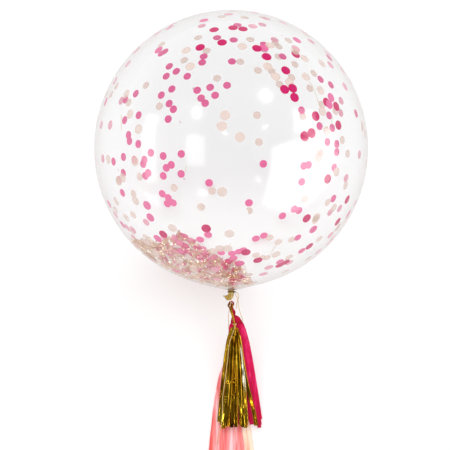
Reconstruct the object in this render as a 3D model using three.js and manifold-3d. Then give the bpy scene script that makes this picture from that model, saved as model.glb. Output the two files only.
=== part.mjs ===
// Clear bubble balloon with a tail of four tassels, lying on the floor on a small flat spot.
// Millimetres, +Z up. The origin is on the floor under the balloon's centre, and the neck points
// towards -Y and downwards, so that the tail runs down to the floor and along it.
import * as THREE from "three";
import { mergeVertices } from "three/addons/utils/BufferGeometryUtils.js";
import Module from "manifold-3d";

const wasm = await Module();
wasm.setup();

// Balloon
const BALLOON_RADIUS = 380;
const EGG_SHARE = 0.03; // how much further out the skin stands round the neck than at the crown
const NIPPLE_SHARE = 0.035; // the little cone that the neck draws out of the skin
const NIPPLE_ANGLE = 0.12; // radians from the axis over which that cone fades
const NECK_DROOP = THREE.MathUtils.degToRad(30); // neck below the horizontal as the balloon lies
const FLAT_SPOT_RADIUS = 70; // how much of the skin rests on the floor
const BALLOON_SIDES = 38;
const BALLOON_RINGS = 20;
const RING_CROWDING = 1.35; // draws the rings together towards the neck
const PLEATS = 10;
const PLEAT_DEPTH = 1.6;
const PLEAT_REACH = 0.16; // radians from the axis over which the pleats fade
const NECK_RADIUS = 8;
const NECK_LENGTH = 10;
const NECK_CORE = NECK_RADIUS * 0.66; // half-size of the square that the lip starts from, inside the neck
const LIP_LENGTH = 25;
const LIP_HALF_WIDTH = 12.5;
const LIP_THICKNESS = 3.2;
const LIP_BEAD = 1.5; // how much thicker the rolled edge is than the lip behind it
const LIP_RUFFLE = 3.4;
const LIP_WAVES = 1.1;
const LIP_WAVE_START = 0.6;
const LIP_SCALLOP = 1.8;
const LIP_ROOT = 4; // how far inside the neck's end the lip starts
const LIP_TURN = THREE.MathUtils.degToRad(42); // the lip folds over towards -X

// String
const STRING_RADIUS = 1;
const STRING_SIDES = 8;
const LOOPED_STEP = 7;
const HANGING_STEP = 11;
const NECK_TURNS = 3;
const WAIST_TURNS = 2;
const TIE_KNOT_RADIUS = 3;
const TIE_KNOT_PROUD = 0.4; // share of its radius by which a knot's middle clears the winding
const NECK_KNOT_TURN = THREE.MathUtils.degToRad(20); // round the neck from +X
const WAIST_KNOT_TURN = THREE.MathUtils.degToRad(70);
const END_KNOT_RADIUS = 3.8; // too big to slip through a tassel's eye
const RING_SIDES = 12;
const CLEARANCE = 0.3;

// Tail
const LANDING = 300; // horizontal distance from the neck at which the tail is down on the floor
const SETTLE = 60; // distance over which each tassel comes to its own height in the pile
const LEAD = 20; // how far a tassel's middle line starts before its eye
const TASSEL_LENGTH = 352;
const STRIP_WIDTH = 11;
const STRIP_THICKNESS = 2.2;
const FRINGE_STEPS = 5;
const CORE_HALF = 2.6; // half the thickness of the packed middle of the fringe
const STRIP_STAGGER = 0.5;
const STRIP_WANDER = 2; // how far a strip strays sideways from its lane
const TIP_SPREAD = 0.07; // share of the length within which the tips end
const SWELL = 0.5; // how much thicker a tassel is down its middle than at its edges
const EYE_RADIUS = 5.4;
const EYE_WIRE = 1.9;
const EYE_SETBACK = 1.4; // from where the string passes down to the middle of the eye
const STEM_RADIUS = 4.1;
const STEM_FLATNESS = 0.62;
const STEM_TWIST = 2.2; // turns in the twisted head
const STEM_OVERLAP = 0.03; // shares of a tassel's length: how far the stem runs on inside the shoulder
const SHOULDER_SHARE = 0.17;
const FRINGE_OVERLAP = 0.05;
const WAIST_TIE_RISE = 0.03;
const SHOULDER_SIDES = 14;
const SHOULDER_FLUTES = 5;
const FLUTE_DEPTH = 0.1;
const SHOULDER_THICK = 4.6;
const WAIST_HALF = 3.2;
const DRAPE_DEPTH = 14; // the magenta fringe's right edge hangs down past the cream tassel
const DRAPE_FROM = 62;
const DRAPE_TO = 84;

const xAxis = new THREE.Vector3(1, 0, 0);
const neckAxis = new THREE.Vector3(0, -Math.cos(NECK_DROOP), -Math.sin(NECK_DROOP));
const neckFace = new THREE.Vector3(0, -Math.sin(NECK_DROOP), Math.cos(NECK_DROOP));
const skinBelow = skinRadius(Math.PI / 2 - NECK_DROOP);
const centre = new THREE.Vector3(0, 0, Math.sqrt(skinBelow ** 2 - FLAT_SPOT_RADIUS ** 2));
const neckRoot = skinRadius(0) - 2; // where the pleated skin becomes the neck, from the centre
const tie = { from: neckRoot + 1, to: neckRoot + 1 + 2 * STRING_RADIUS * NECK_TURNS };
const tiePoint = alongNeck(0, (tie.from + tie.to) / 2, 0);

// Each tassel: its eye's distance from the tie and sideways place, where its waist is as a share of
// its length and how far that is to the right of the eye, the further lean to its tip, its
// half-width there and how early it spreads, how much of the drop from the neck it takes, its
// height in the pile, strips and seed.
const tassels = {
  magenta: {
    eyeAt: 20, eyeX: 1, waistAt: 0.1, waistX: 8, lean: 27, halfWidth: 52, spreadPower: 0.45,
    share: 0.9, rest: 20.8, strips: 9, seed: 3, colour: 0xe0186c,
  },
  gold: {
    eyeAt: 31, eyeX: -2, waistAt: 0.18, waistX: 12.4, lean: -4, halfWidth: 45, spreadPower: 0.42,
    share: 1, rest: 34.2, strips: 9, seed: 8, colour: 0xb08a1c,
  },
  pink: {
    eyeAt: 115, eyeX: -4, waistAt: 0.13, waistX: 0, lean: -17, halfWidth: 47, spreadPower: 0.38,
    share: 0.74, rest: 7.2, strips: 9, seed: 5, colour: 0xf2a3aa,
  },
  cream: {
    eyeAt: 108, eyeX: 3, waistAt: 0.13, waistX: 6, lean: 39, halfWidth: 20, spreadPower: 0.45,
    share: 0.52, rest: 7.2, strips: 5, seed: 11, colour: 0xfbe0c4,
  },
};

const film = new THREE.MeshStandardMaterial({
  color: 0xf4f4f0, roughness: 0.05, metalness: 0, transparent: true, opacity: 0.3,
});
const goldString = new THREE.MeshStandardMaterial({ color: 0xb8924a, roughness: 0.35, metalness: 0.8 });

function tissue(colour, metalness = 0) {
  return new THREE.MeshStandardMaterial({ color: colour, roughness: metalness ? 0.2 : 0.8, metalness });
}

function smoothstep(low, high, value) {
  return THREE.MathUtils.smoothstep(value, low, high);
}

// A repeatable value from 0 to 1 for a strip.
function pick(seed, index) {
  const wave = Math.sin(seed * 12.9898 + index * 78.233) * 43758.5453;
  return wave - Math.floor(wave);
}

// Distance of the skin from the balloon's centre, at an angle from the neck's axis.
function skinRadius(angle) {
  const egg = EGG_SHARE * ((1 + Math.cos(angle)) / 2) ** 2;
  return BALLOON_RADIUS * (1 + egg + NIPPLE_SHARE * Math.exp(-angle / NIPPLE_ANGLE));
}

// A point given by its sideways place, its distance from the centre along the neck, and its
// height over the neck's axis.
function alongNeck(side, along, over) {
  return centre.clone()
    .addScaledVector(xAxis, side)
    .addScaledVector(neckAxis, along)
    .addScaledVector(neckFace, over);
}

// Moves every vertex of a geometry and leaves only merged positions.
function bend(geometry, place) {
  const bare = geometry.clone();
  bare.deleteAttribute("normal");
  bare.deleteAttribute("uv");
  const position = bare.getAttribute("position");
  const point = new THREE.Vector3();
  for (let i = 0; i < position.count; i += 1) {
    point.fromBufferAttribute(position, i);
    const moved = place(point);
    position.setXYZ(i, moved.x, moved.y, moved.z);
  }
  return mergeVertices(bare, 1e-3);
}

function solid(geometry) {
  const made = new wasm.Manifold(new wasm.Mesh({
    numProp: 3,
    vertProperties: new Float32Array(geometry.getAttribute("position").array),
    triVerts: new Uint32Array(geometry.index.array),
  }));
  if (made.volume() > 0) return made;
  const turned = geometry.clone();
  const faces = Array.from(turned.index.array);
  for (let i = 0; i < faces.length; i += 3) [faces[i + 1], faces[i + 2]] = [faces[i + 2], faces[i + 1]];
  turned.setIndex(faces);
  return new wasm.Manifold(new wasm.Mesh({
    numProp: 3,
    vertProperties: new Float32Array(turned.getAttribute("position").array),
    triVerts: new Uint32Array(faces),
  }));
}

function meshOf(made, name, material) {
  const result = made.getMesh();
  const points = new Float32Array(result.numVert * 3);
  for (let i = 0; i < result.numVert; i += 1) {
    const start = i * result.numProp;
    points.set(result.vertProperties.subarray(start, start + 3), i * 3);
  }
  const geometry = new THREE.BufferGeometry();
  geometry.setAttribute("position", new THREE.BufferAttribute(points, 3));
  geometry.setIndex(new THREE.BufferAttribute(new Uint32Array(result.triVerts), 1));
  const mesh = new THREE.Mesh(geometry, material);
  mesh.name = name;
  return mesh;
}

function joined(solids) {
  return solids.reduce((sum, next) => sum.add(next));
}

// The inflated skin, pleated where the neck gathers it, with the neck itself.
function skinSolid() {
  const profile = [new THREE.Vector2(0, -(neckRoot + NECK_LENGTH))];
  profile.push(new THREE.Vector2(NECK_RADIUS, -(neckRoot + NECK_LENGTH)));
  profile.push(new THREE.Vector2(NECK_RADIUS, -(neckRoot - 1)));
  const first = (2 * NECK_RADIUS) / neckRoot;
  for (let ring = 0; ring < BALLOON_RINGS; ring += 1) {
    const angle = first + (Math.PI - first) * (ring / BALLOON_RINGS) ** RING_CROWDING;
    const radius = skinRadius(angle);
    profile.push(new THREE.Vector2(radius * Math.sin(angle), -radius * Math.cos(angle)));
  }
  profile.push(new THREE.Vector2(0, skinRadius(Math.PI)));
  const turned = bend(new THREE.LatheGeometry(profile, BALLOON_SIDES), (p) => {
    const round = Math.atan2(p.z, p.x);
    const off = Math.atan2(Math.hypot(p.x, p.z), -p.y);
    const depth = PLEAT_DEPTH * Math.exp(-((off / PLEAT_REACH) ** 2)) * Math.sin(PLEATS * round);
    const out = -p.y < neckRoot - 2 ? 1 + depth / Math.max(Math.hypot(p.x, p.z), 1) : 1;
    return alongNeck(p.x * out, -p.y, p.z * out);
  });
  return solid(turned);
}

// The open end of the neck past the tie: a flat ruffled lip with a rolled edge.
function lipSolid() {
  const flat = new THREE.BoxGeometry(2, 1, 2, 10, 7, 1);
  return solid(bend(flat, (p) => {
    const share = p.y + 0.5;
    const half = THREE.MathUtils.lerp(NECK_CORE, LIP_HALF_WIDTH, smoothstep(0, 0.7, share));
    const bead = LIP_BEAD * smoothstep(0.75, 0.95, share);
    const thick = THREE.MathUtils.lerp(NECK_CORE, LIP_THICKNESS / 2, smoothstep(0, 0.5, share)) + bead;
    const ruffle = LIP_RUFFLE * share * Math.sin(LIP_WAVES * Math.PI * p.x + LIP_WAVE_START);
    const turn = LIP_TURN * share;
    const reach = LIP_LENGTH * share;
    const scallop = LIP_SCALLOP * share * Math.cos(Math.PI * p.x);
    const side = -Math.sin(turn) * (reach + scallop) + Math.cos(turn) * p.x * half;
    const along = Math.cos(turn) * (reach + scallop) + Math.sin(turn) * p.x * half;
    return alongNeck(side, neckRoot + NECK_LENGTH - LIP_ROOT + along, p.z * thick + ruffle);
  }));
}

function balloon() {
  const wide = 2.5 * BALLOON_RADIUS;
  const floor = new THREE.BoxGeometry(wide, wide, BALLOON_RADIUS).translate(0, 0, -BALLOON_RADIUS / 2);
  const whole = skinSolid().add(lipSolid());
  return meshOf(whole.subtract(solid(bend(floor, (p) => p.clone()))), "balloon", film);
}

// A close winding of string round something of the given radius: a ring of bumps, straight on
// the inside, with flats that stay clear of what it goes round.
function winding(radius, turns) {
  const inner = (radius + CLEARANCE) / Math.cos(Math.PI / RING_SIDES);
  const profile = [new THREE.Vector2(inner, 0), new THREE.Vector2(inner + STRING_RADIUS, 0)];
  for (let turn = 0; turn < turns; turn += 1) {
    for (const share of [0.25, 0.75]) {
      const out = inner + STRING_RADIUS * (1 + Math.sin(Math.PI * share));
      profile.push(new THREE.Vector2(out, 2 * STRING_RADIUS * (turn + share)));
    }
    profile.push(new THREE.Vector2(inner + STRING_RADIUS, 2 * STRING_RADIUS * (turn + 1)));
  }
  profile.push(new THREE.Vector2(inner, 2 * STRING_RADIUS * turns));
  profile.push(profile[0].clone());
  return new THREE.LatheGeometry(profile, RING_SIDES);
}

function knot(at, radius) {
  return solid(bend(new THREE.SphereGeometry(radius, 10, 6), (p) => p.clone().add(at)));
}

// Distance of a tie's knot from the middle of what the tie goes round.
function knotReach(radius) {
  return radius + CLEARANCE + 2 * STRING_RADIUS + TIE_KNOT_PROUD * TIE_KNOT_RADIUS;
}

function neckTie() {
  const ring = solid(bend(winding(NECK_RADIUS, NECK_TURNS), (p) => alongNeck(p.x, tie.from + p.y, p.z)));
  const reach = knotReach(NECK_RADIUS);
  const side = reach * Math.cos(NECK_KNOT_TURN);
  const over = reach * Math.sin(NECK_KNOT_TURN);
  const tied = knot(alongNeck(side, (tie.from + tie.to) / 2, over), TIE_KNOT_RADIUS);
  return meshOf(ring.add(tied), "neck_tie", goldString);
}

// Height that the tail's line keeps over the floor, at a horizontal distance from the tie.
function dropAt(distance) {
  return tiePoint.z * Math.max(0, 1 - distance / LANDING) ** 2;
}

// A tassel's middle line, and the place of a point given by its share of the length, its
// distance sideways from that line and its height over it.
function layOut(name) {
  const spec = tassels[name];
  const points = [];
  const end = spec.eyeAt + TASSEL_LENGTH + LEAD;
  for (let distance = spec.eyeAt - LEAD; distance <= end; distance += LEAD) {
    const settled = 1 - Math.exp(-Math.max(0, distance) / SETTLE);
    const height = dropAt(distance) * spec.share + spec.rest * settled;
    points.push(new THREE.Vector3(0, tiePoint.y - distance, height));
  }
  const line = new THREE.CatmullRomCurve3(points);
  const whole = line.getLength();
  const lead = points[0].distanceTo(points[1]);
  const shoulderAt = spec.waistAt + SHOULDER_SHARE;
  function spread(share) {
    return Math.max(0, (share - spec.waistAt) / (1 - spec.waistAt)) ** spec.spreadPower;
  }
  function halfWidth(share) {
    return THREE.MathUtils.lerp(WAIST_HALF, spec.halfWidth, spread(share));
  }
  function place(share, side, over) {
    const t = (lead + share * TASSEL_LENGTH) / whole;
    const point = line.getPointAt(t);
    const up = line.getTangentAt(t).cross(xAxis).normalize();
    const across = Math.min(1, Math.abs(side) / halfWidth(share));
    const swell = 1 + SWELL * (1 - across ** 2) * smoothstep(spec.waistAt, shoulderAt, share);
    point.x = spec.eyeX + spec.waistX * smoothstep(0, spec.waistAt, share) + spec.lean * spread(share) + side;
    const hang = name === "magenta" ? DRAPE_DEPTH * smoothstep(DRAPE_FROM, DRAPE_TO, point.x) : 0;
    return point.addScaledVector(up, over * swell).add(new THREE.Vector3(0, 0, -hang));
  }
  return { spec, place, halfWidth, shoulderAt, fringeFrom: shoulderAt - FRINGE_OVERLAP };
}

// The loop at the top of a tassel, which the string goes through.
function eyeSolid({ place }) {
  const ring = new THREE.TorusGeometry(EYE_RADIUS, EYE_WIRE, 6, 12);
  return solid(bend(ring, (p) => place((EYE_SETBACK - p.y) / TASSEL_LENGTH, p.x, p.z)));
}

// The twisted middle of the folded sheet, from the eye to the waist.
function stemSolid({ place, spec }) {
  const from = EYE_RADIUS / TASSEL_LENGTH;
  const bar = new THREE.CylinderGeometry(STEM_RADIUS, STEM_RADIUS, 1, 8, 9);
  return solid(bend(bar, (p) => {
    const share = 0.5 - p.y;
    const turn = 2 * Math.PI * STEM_TWIST * share;
    const across = p.x;
    const deep = p.z * STEM_FLATNESS;
    const side = across * Math.cos(turn) - deep * Math.sin(turn);
    const over = across * Math.sin(turn) + deep * Math.cos(turn);
    return place(THREE.MathUtils.lerp(from, spec.waistAt + STEM_OVERLAP, share), side, over);
  }));
}

// The uncut shoulder under the waist, gathered into flutes.
function shoulderSolid({ place, halfWidth, spec }) {
  const cone = new THREE.CylinderGeometry(1, 1, 1, SHOULDER_SIDES, 3);
  return solid(bend(cone, (p) => {
    const share = spec.waistAt + SHOULDER_SHARE * (0.5 - p.y);
    const round = Math.atan2(p.z, p.x);
    const out = Math.hypot(p.x, p.z) * (1 + FLUTE_DEPTH * Math.sin(SHOULDER_FLUTES * round + spec.seed));
    const opened = smoothstep(0.5, -0.5, p.y);
    const thick = THREE.MathUtils.lerp(SHOULDER_THICK, CORE_HALF + STRIP_THICKNESS / 2, opened);
    return place(share, out * Math.cos(round) * halfWidth(share), out * Math.sin(round) * thick);
  }));
}

// The packed middle of the fringe, which the strips above and below it are part of. It ends one
// step short of the tips.
function coreSolid({ place, halfWidth, fringeFrom }) {
  const steps = FRINGE_STEPS - 1;
  const flat = new THREE.BoxGeometry(2, 1, 2 * CORE_HALF, 3, steps, 1);
  return solid(bend(flat, (p) => {
    const share = THREE.MathUtils.lerp(fringeFrom, 1, (0.5 - p.y) * (steps / FRINGE_STEPS));
    return place(share, p.x * (halfWidth(share) - STRIP_WIDTH / 2), p.z);
  }));
}

// One cut strip of the fringe, from inside the shoulder to its own tip. Every other strip lies
// under the middle of the fringe, and neighbours lie at slightly different heights.
function stripSolid({ place, halfWidth, spec, fringeFrom }, index) {
  const tip = 1 - TIP_SPREAD * pick(spec.seed, index);
  const lane = THREE.MathUtils.lerp(-1, 1, index / (spec.strips - 1));
  const wander = STRIP_WANDER * (2 * pick(spec.seed + 1, index) - 1);
  const layer = index % 2 === 0 ? 1 : -1;
  const level = layer * (CORE_HALF + STRIP_STAGGER * (Math.floor(index / 2) % 2 === 0 ? 1 : -1));
  const flat = new THREE.BoxGeometry(STRIP_WIDTH, 1, STRIP_THICKNESS, 1, FRINGE_STEPS, 1);
  return solid(bend(flat, (p) => {
    const share = Math.min(tip, THREE.MathUtils.lerp(fringeFrom, 1, 0.5 - p.y));
    const reach = Math.max(0, halfWidth(share) - STRIP_WIDTH / 2);
    const sway = wander * Math.sin(Math.PI * (0.5 - p.y) * 1.5);
    return place(share, lane * reach + sway + p.x, level + p.z);
  }));
}

function tassel(name) {
  const laid = layOut(name);
  const pieces = [eyeSolid(laid), stemSolid(laid), shoulderSolid(laid), coreSolid(laid)];
  for (let index = 0; index < laid.spec.strips; index += 1) pieces.push(stripSolid(laid, index));
  const material = tissue(laid.spec.colour, name === "gold" ? 1 : 0);
  return meshOf(joined(pieces), `tassel_${name}`, material);
}

// The string's turns round the gold tassel's waist.
function waistTie() {
  const laid = layOut("gold");
  const tieAt = laid.spec.waistAt - WAIST_TIE_RISE;
  const ring = solid(bend(winding(STEM_RADIUS, WAIST_TURNS), (p) => (
    laid.place(tieAt + p.y / TASSEL_LENGTH, p.x, p.z)
  )));
  const reach = knotReach(STEM_RADIUS);
  const middle = tieAt + (STRING_RADIUS * WAIST_TURNS) / TASSEL_LENGTH;
  const side = reach * Math.cos(WAIST_KNOT_TURN);
  const knotAt = laid.place(middle, side, reach * Math.sin(WAIST_KNOT_TURN));
  return meshOf(ring.add(knot(knotAt, TIE_KNOT_RADIUS)), "waist_tie", goldString);
}

// A length of string, along points chosen by hand.
function string(name, points, step) {
  const line = new THREE.CatmullRomCurve3(points.map((p) => new THREE.Vector3(...p)));
  const section = new THREE.Shape();
  section.absarc(0, 0, STRING_RADIUS, 0, 2 * Math.PI);
  const tube = new THREE.ExtrudeGeometry(section, {
    extrudePath: line,
    steps: Math.round(line.getLength() / step),
    curveSegments: STRING_SIDES / 2,
    bevelEnabled: false,
  });
  return meshOf(solid(bend(tube, (p) => p.clone())), name, goldString);
}

// From under the neck's lip through the eyes of all four tassels.
const tailRoute = [
  [2, -359.8, 183], [1.5, -367, 179], [0.4, -375.5, 175.8], [-0.8, -383.5, 174.6], [-1.8, -389.8, 171.8],
  [-2.2, -391.6, 166.4], [-2, -388, 160.2], [-2, -384.3, 155], [-0.5, -378.8, 149.3], [1, -373.3, 143.6],
  [1.8, -369.4, 137.6], [1.6, -368.4, 130.4], [-1, -371.6, 124], [-4.4, -378.5, 118.4], [-6.4, -390, 110],
  [-6.8, -404, 99], [-6.4, -419, 87.6], [-5.6, -434, 77], [-5, -446, 68.5], [-4.6, -456.5, 64.2],
  [-4.2, -465.5, 63.6], [-4.2, -471, 60.8], [-4, -468.4, 55.2], [-0.5, -465.2, 49.2], [3, -461.8, 43],
  [4.1, -460.6, 40.2],
];
// From the gold tassel's waist down the front of the tail.
const frontRoute = [
  [11, -434.4, 127.6], [9.6, -440, 124.2], [7.4, -446.6, 118.6], [1.8, -458.4, 110.4], [-3.4, -471.6, 102],
  [-7, -492.5, 90.6], [-9.2, -516.6, 77], [-13.4, -542.7, 66.2], [-17, -568.8, 56.8], [-20.2, -593.1, 50],
  [-23.6, -618, 45.6], [-24, -646.6, 43.6], [-24.4, -669.9, 42], [-26.4, -687.3, 41.6], [-28.6, -701, 38.8],
  [-31.2, -710.5, 29.4], [-33.8, -719, 19.4], [-36, -728.4, 15.4], [-37.4, -741, 14.6],
];
const longEndRoute = [
  [10.7, -357.8, 178.8], [12.6, -361, 177.2], [15.5, -365.1, 173.4], [18.4, -369.5, 168], [20, -374, 161.8],
  [20.6, -378.9, 154.3], [21.8, -384.7, 146.3], [24.2, -391.6, 138.3], [27.8, -399.9, 130.6],
  [31, -407.6, 123.9], [34.5, -415.5, 117.6],
];
const shortEndRoute = [
  [14.3, -354.9, 179.6], [18, -356.7, 178.6], [20.8, -359.8, 176], [21.4, -363.6, 171.7], [20.4, -368.1, 165.6],
  [18, -372.7, 159.5], [16, -378.1, 152.9], [15, -383.3, 146], [14.6, -387.6, 139.4],
];

// The knot that stops the string under the last eye.
function tailKnot() {
  const [before, end] = tailRoute.slice(-2).map((p) => new THREE.Vector3(...p));
  const onwards = end.clone().sub(before).setLength(END_KNOT_RADIUS + CLEARANCE);
  return meshOf(knot(end.add(onwards), END_KNOT_RADIUS), "tail_knot", goldString);
}

const object = new THREE.Group();
object.name = "bubble_balloon";
object.add(balloon());
object.add(neckTie());
object.add(waistTie());
for (const name of Object.keys(tassels)) object.add(tassel(name));
object.add(string("tail_string", tailRoute, LOOPED_STEP));
object.add(string("front_string", frontRoute, HANGING_STEP));
object.add(string("neck_string_long", longEndRoute, HANGING_STEP));
object.add(string("neck_string_short", shortEndRoute, HANGING_STEP));
object.add(tailKnot());

export default object;
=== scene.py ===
"""Clear bubble balloon with confetti inside and a tail of four tassels, lying on a pale floor."""
import math
import random

import bmesh
import bpy
from mathutils import Matrix, Vector


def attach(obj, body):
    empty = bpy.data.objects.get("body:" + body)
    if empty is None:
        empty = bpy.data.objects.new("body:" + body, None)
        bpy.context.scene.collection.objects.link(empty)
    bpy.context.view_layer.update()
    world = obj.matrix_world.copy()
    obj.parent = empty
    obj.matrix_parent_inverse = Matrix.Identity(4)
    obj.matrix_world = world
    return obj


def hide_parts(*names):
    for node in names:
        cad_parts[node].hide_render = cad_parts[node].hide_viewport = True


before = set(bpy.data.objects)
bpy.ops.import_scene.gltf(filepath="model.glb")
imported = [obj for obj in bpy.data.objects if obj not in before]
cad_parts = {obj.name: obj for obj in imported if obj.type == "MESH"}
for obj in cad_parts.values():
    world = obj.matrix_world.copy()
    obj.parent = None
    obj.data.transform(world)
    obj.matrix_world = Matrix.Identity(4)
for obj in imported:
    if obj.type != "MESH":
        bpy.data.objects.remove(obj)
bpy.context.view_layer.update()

# Lengths in metres, angles in radians, as the source of the solids has them in millimetres.
MM = 0.001
BALLOON_RADIUS = 0.380
EGG_SHARE = 0.03
NIPPLE_SHARE = 0.035
NIPPLE_ANGLE = 0.12
NECK_DROOP = math.radians(30)
FLAT_SPOT_RADIUS = 70 * MM
NECK_RADIUS = 8 * MM
NECK_LENGTH = 10 * MM
LIP_LENGTH = 25 * MM
LIP_HALF_WIDTH = 12.5 * MM
LIP_TURN = math.radians(42)
STRING_RADIUS = 1 * MM
NECK_TURNS = 3
WAIST_TURNS = 2
LANDING = 0.300
SETTLE = 0.060
LEAD = 0.020
TASSEL_LENGTH = 0.352
SHOULDER_SHARE = 0.17
WAIST_HALF = 3.2 * MM
EYE_RADIUS = 5.4 * MM
EYE_WIRE = 1.9 * MM
STEM_RADIUS = 4.1 * MM
STRIP_WIDTH = 11 * MM
SWELL = 0.5
DRAPE_DEPTH = 14 * MM
DRAPE_FROM = 62 * MM
DRAPE_TO = 84 * MM
CONFETTI_RADIUS = 12.5 * MM
MERGE_GAP = 1e-6
CURVE_STEPS = 12
ANY_TURN = 6.3  # a little over a full turn, the range of a random angle

# The photograph's frame and the camera that took it.
FRAME_PIXELS = 450
FOCAL_PIXELS = 1034
SENSOR_MM = 36
SIGHT_DISTANCE = 2.915
BALLOON_PIXEL = (231, 147.5)


def skin_radius(angle):
    """Distance of the skin from the balloon's centre, at an angle from the neck's axis."""
    egg = EGG_SHARE * ((1 + math.cos(angle)) / 2) ** 2
    return BALLOON_RADIUS * (1 + egg + NIPPLE_SHARE * math.exp(-angle / NIPPLE_ANGLE))


def lerp(low, high, share):
    return low + (high - low) * share


def smoothstep(low, high, value):
    share = min(1, max(0, (value - low) / (high - low)))
    return share * share * (3 - 2 * share)


side_axis = Vector((1, 0, 0))
neck_axis = Vector((0, -math.cos(NECK_DROOP), -math.sin(NECK_DROOP)))
neck_face = Vector((0, -math.sin(NECK_DROOP), math.cos(NECK_DROOP)))
centre = Vector((0, 0, math.sqrt(skin_radius(math.pi / 2 - NECK_DROOP) ** 2 - FLAT_SPOT_RADIUS ** 2)))
NECK_ROOT = skin_radius(0) - 2 * MM
TIE_FROM = NECK_ROOT + 1 * MM
TIE_MIDDLE = TIE_FROM + STRING_RADIUS * NECK_TURNS


def along_neck(side, along, over):
    return centre + side_axis * side + neck_axis * along + neck_face * over


tie_point = along_neck(0, TIE_MIDDLE, 0)

# Camera

camera_data = bpy.data.cameras.new("camera")
camera_data.sensor_width = SENSOR_MM
camera_data.lens = SENSOR_MM * FOCAL_PIXELS / FRAME_PIXELS
camera = bpy.data.objects.new("camera", camera_data)
bpy.context.scene.collection.objects.link(camera)
metres_per_pixel = SIGHT_DISTANCE / FOCAL_PIXELS
camera.location = (
    centre
    + neck_face * SIGHT_DISTANCE
    + neck_axis * (FRAME_PIXELS / 2 - BALLOON_PIXEL[1]) * metres_per_pixel
    + side_axis * (FRAME_PIXELS / 2 - BALLOON_PIXEL[0]) * metres_per_pixel
)
camera.rotation_euler = (NECK_DROOP, 0, 0)
bpy.context.scene.camera = camera


# Mesh and node helpers

def link(obj):
    """Puts an object in the scene."""
    bpy.context.scene.collection.objects.link(obj)
    return obj


def mesh_object(name, points, faces, materials, smooth=True):
    mesh = bpy.data.meshes.new(name)
    mesh.from_pydata([tuple(p) for p in points], [], faces)
    for material in materials:
        mesh.materials.append(material)
    if smooth:
        mesh.polygons.foreach_set("use_smooth", [True] * len(mesh.polygons))
    return link(bpy.data.objects.new(name, mesh))


def outward(obj):
    """Turns every face of a closed mesh outwards."""
    work = bmesh.new()
    work.from_mesh(obj.data)
    bmesh.ops.remove_doubles(work, verts=work.verts, dist=MERGE_GAP)
    bmesh.ops.recalc_face_normals(work, faces=work.faces)
    work.to_mesh(obj.data)
    work.free()
    return obj


def tube_faces(rings, sides, first=0):
    """Quads between closed rings, with a fan's centre point before the first and after the last."""
    faces = []
    start = first + 1
    last = start + rings * sides
    for k in range(sides):
        after = (k + 1) % sides
        faces.append((first, start + after, start + k))
        faces.append((last, last - sides + k, last - sides + after))
        for r in range(rings - 1):
            a = start + r * sides
            faces.append((a + k, a + after, a + sides + after, a + sides + k))
    return faces


def tube_object(name, rings, materials):
    """A closed body through rings of points, each ring the same size."""
    sides = len(rings[0])
    points = [sum(rings[0], Vector()) / sides]
    for ring in rings:
        points.extend(ring)
    points.append(sum(rings[-1], Vector()) / sides)
    return mesh_object(name, points, tube_faces(len(rings), sides), materials)


def smooth_path(points, step):
    """Points every step along a centripetal Catmull-Rom curve through the given ones."""
    given = [Vector(p) for p in points]
    ends = [given[0] * 2 - given[1]] + given + [given[-1] * 2 - given[-2]]
    dense = []
    for a, b, c, d in zip(ends, ends[1:], ends[2:], ends[3:]):
        t1 = (b - a).length ** 0.5
        t2 = t1 + (c - b).length ** 0.5
        t3 = t2 + (d - c).length ** 0.5
        for k in range(CURVE_STEPS):
            t = lerp(t1, t2, k / CURVE_STEPS)
            ab = a.lerp(b, t / t1)
            bc = b.lerp(c, (t - t1) / (t2 - t1))
            cd = c.lerp(d, (t - t2) / (t3 - t2))
            abc = ab.lerp(bc, t / t2)
            bcd = bc.lerp(cd, (t - t1) / (t3 - t1))
            dense.append(abc.lerp(bcd, (t - t1) / (t2 - t1)))
    dense.append(given[-1])
    return even_points(dense, step)


def even_points(dense, step):
    """Points at even distances, about a step apart, along a line of close ones."""
    lengths = [0]
    for a, b in zip(dense, dense[1:]):
        lengths.append(lengths[-1] + (b - a).length)
    count = max(2, round(lengths[-1] / step))
    out = []
    k = 0
    for n in range(count + 1):
        want = lengths[-1] * n / count
        while k < len(dense) - 2 and lengths[k + 1] < want:
            k += 1
        out.append(dense[k].lerp(dense[k + 1], (want - lengths[k]) / (lengths[k + 1] - lengths[k])))
    return out


def path_length(points):
    return sum((b - a).length for a, b in zip(points, points[1:]))


def frames_along(points, start_side):
    """A point, a side and an over direction at each point, carried along without twist."""
    side = Vector(start_side)
    out = []
    for k, point in enumerate(points):
        tangent = (points[min(k + 1, len(points) - 1)] - points[max(k - 1, 0)]).normalized()
        side = (side - tangent * side.dot(tangent)).normalized()
        out.append((point, side, tangent.cross(side)))
    return out


STRING_LAY = 5 * MM  # length over which the string's two plies go once round
STRING_SIDES = 12
STRING_CORE = 0.72  # share of the radius that the groove between the plies leaves
STRING_STEP = 0.8 * MM


def string_rings(points, radius=STRING_RADIUS):
    """Rings of a string of two twisted plies."""
    rings = []
    gone = 0
    start = (0, 0, 1) if abs((points[1] - points[0]).normalized().z) < 0.9 else (1, 0, 0)
    for k, (point, side, over) in enumerate(frames_along(points, start)):
        gone += (point - points[max(k - 1, 0)]).length
        ring = []
        for s in range(STRING_SIDES):
            turn = 2 * math.pi * s / STRING_SIDES
            groove = abs(math.cos(turn - 2 * math.pi * gone / STRING_LAY))
            reach = radius * lerp(STRING_CORE, 1, groove)
            ring.append(point + side * math.cos(turn) * reach + over * math.sin(turn) * reach)
        rings.append(ring)
    return rings


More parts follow.
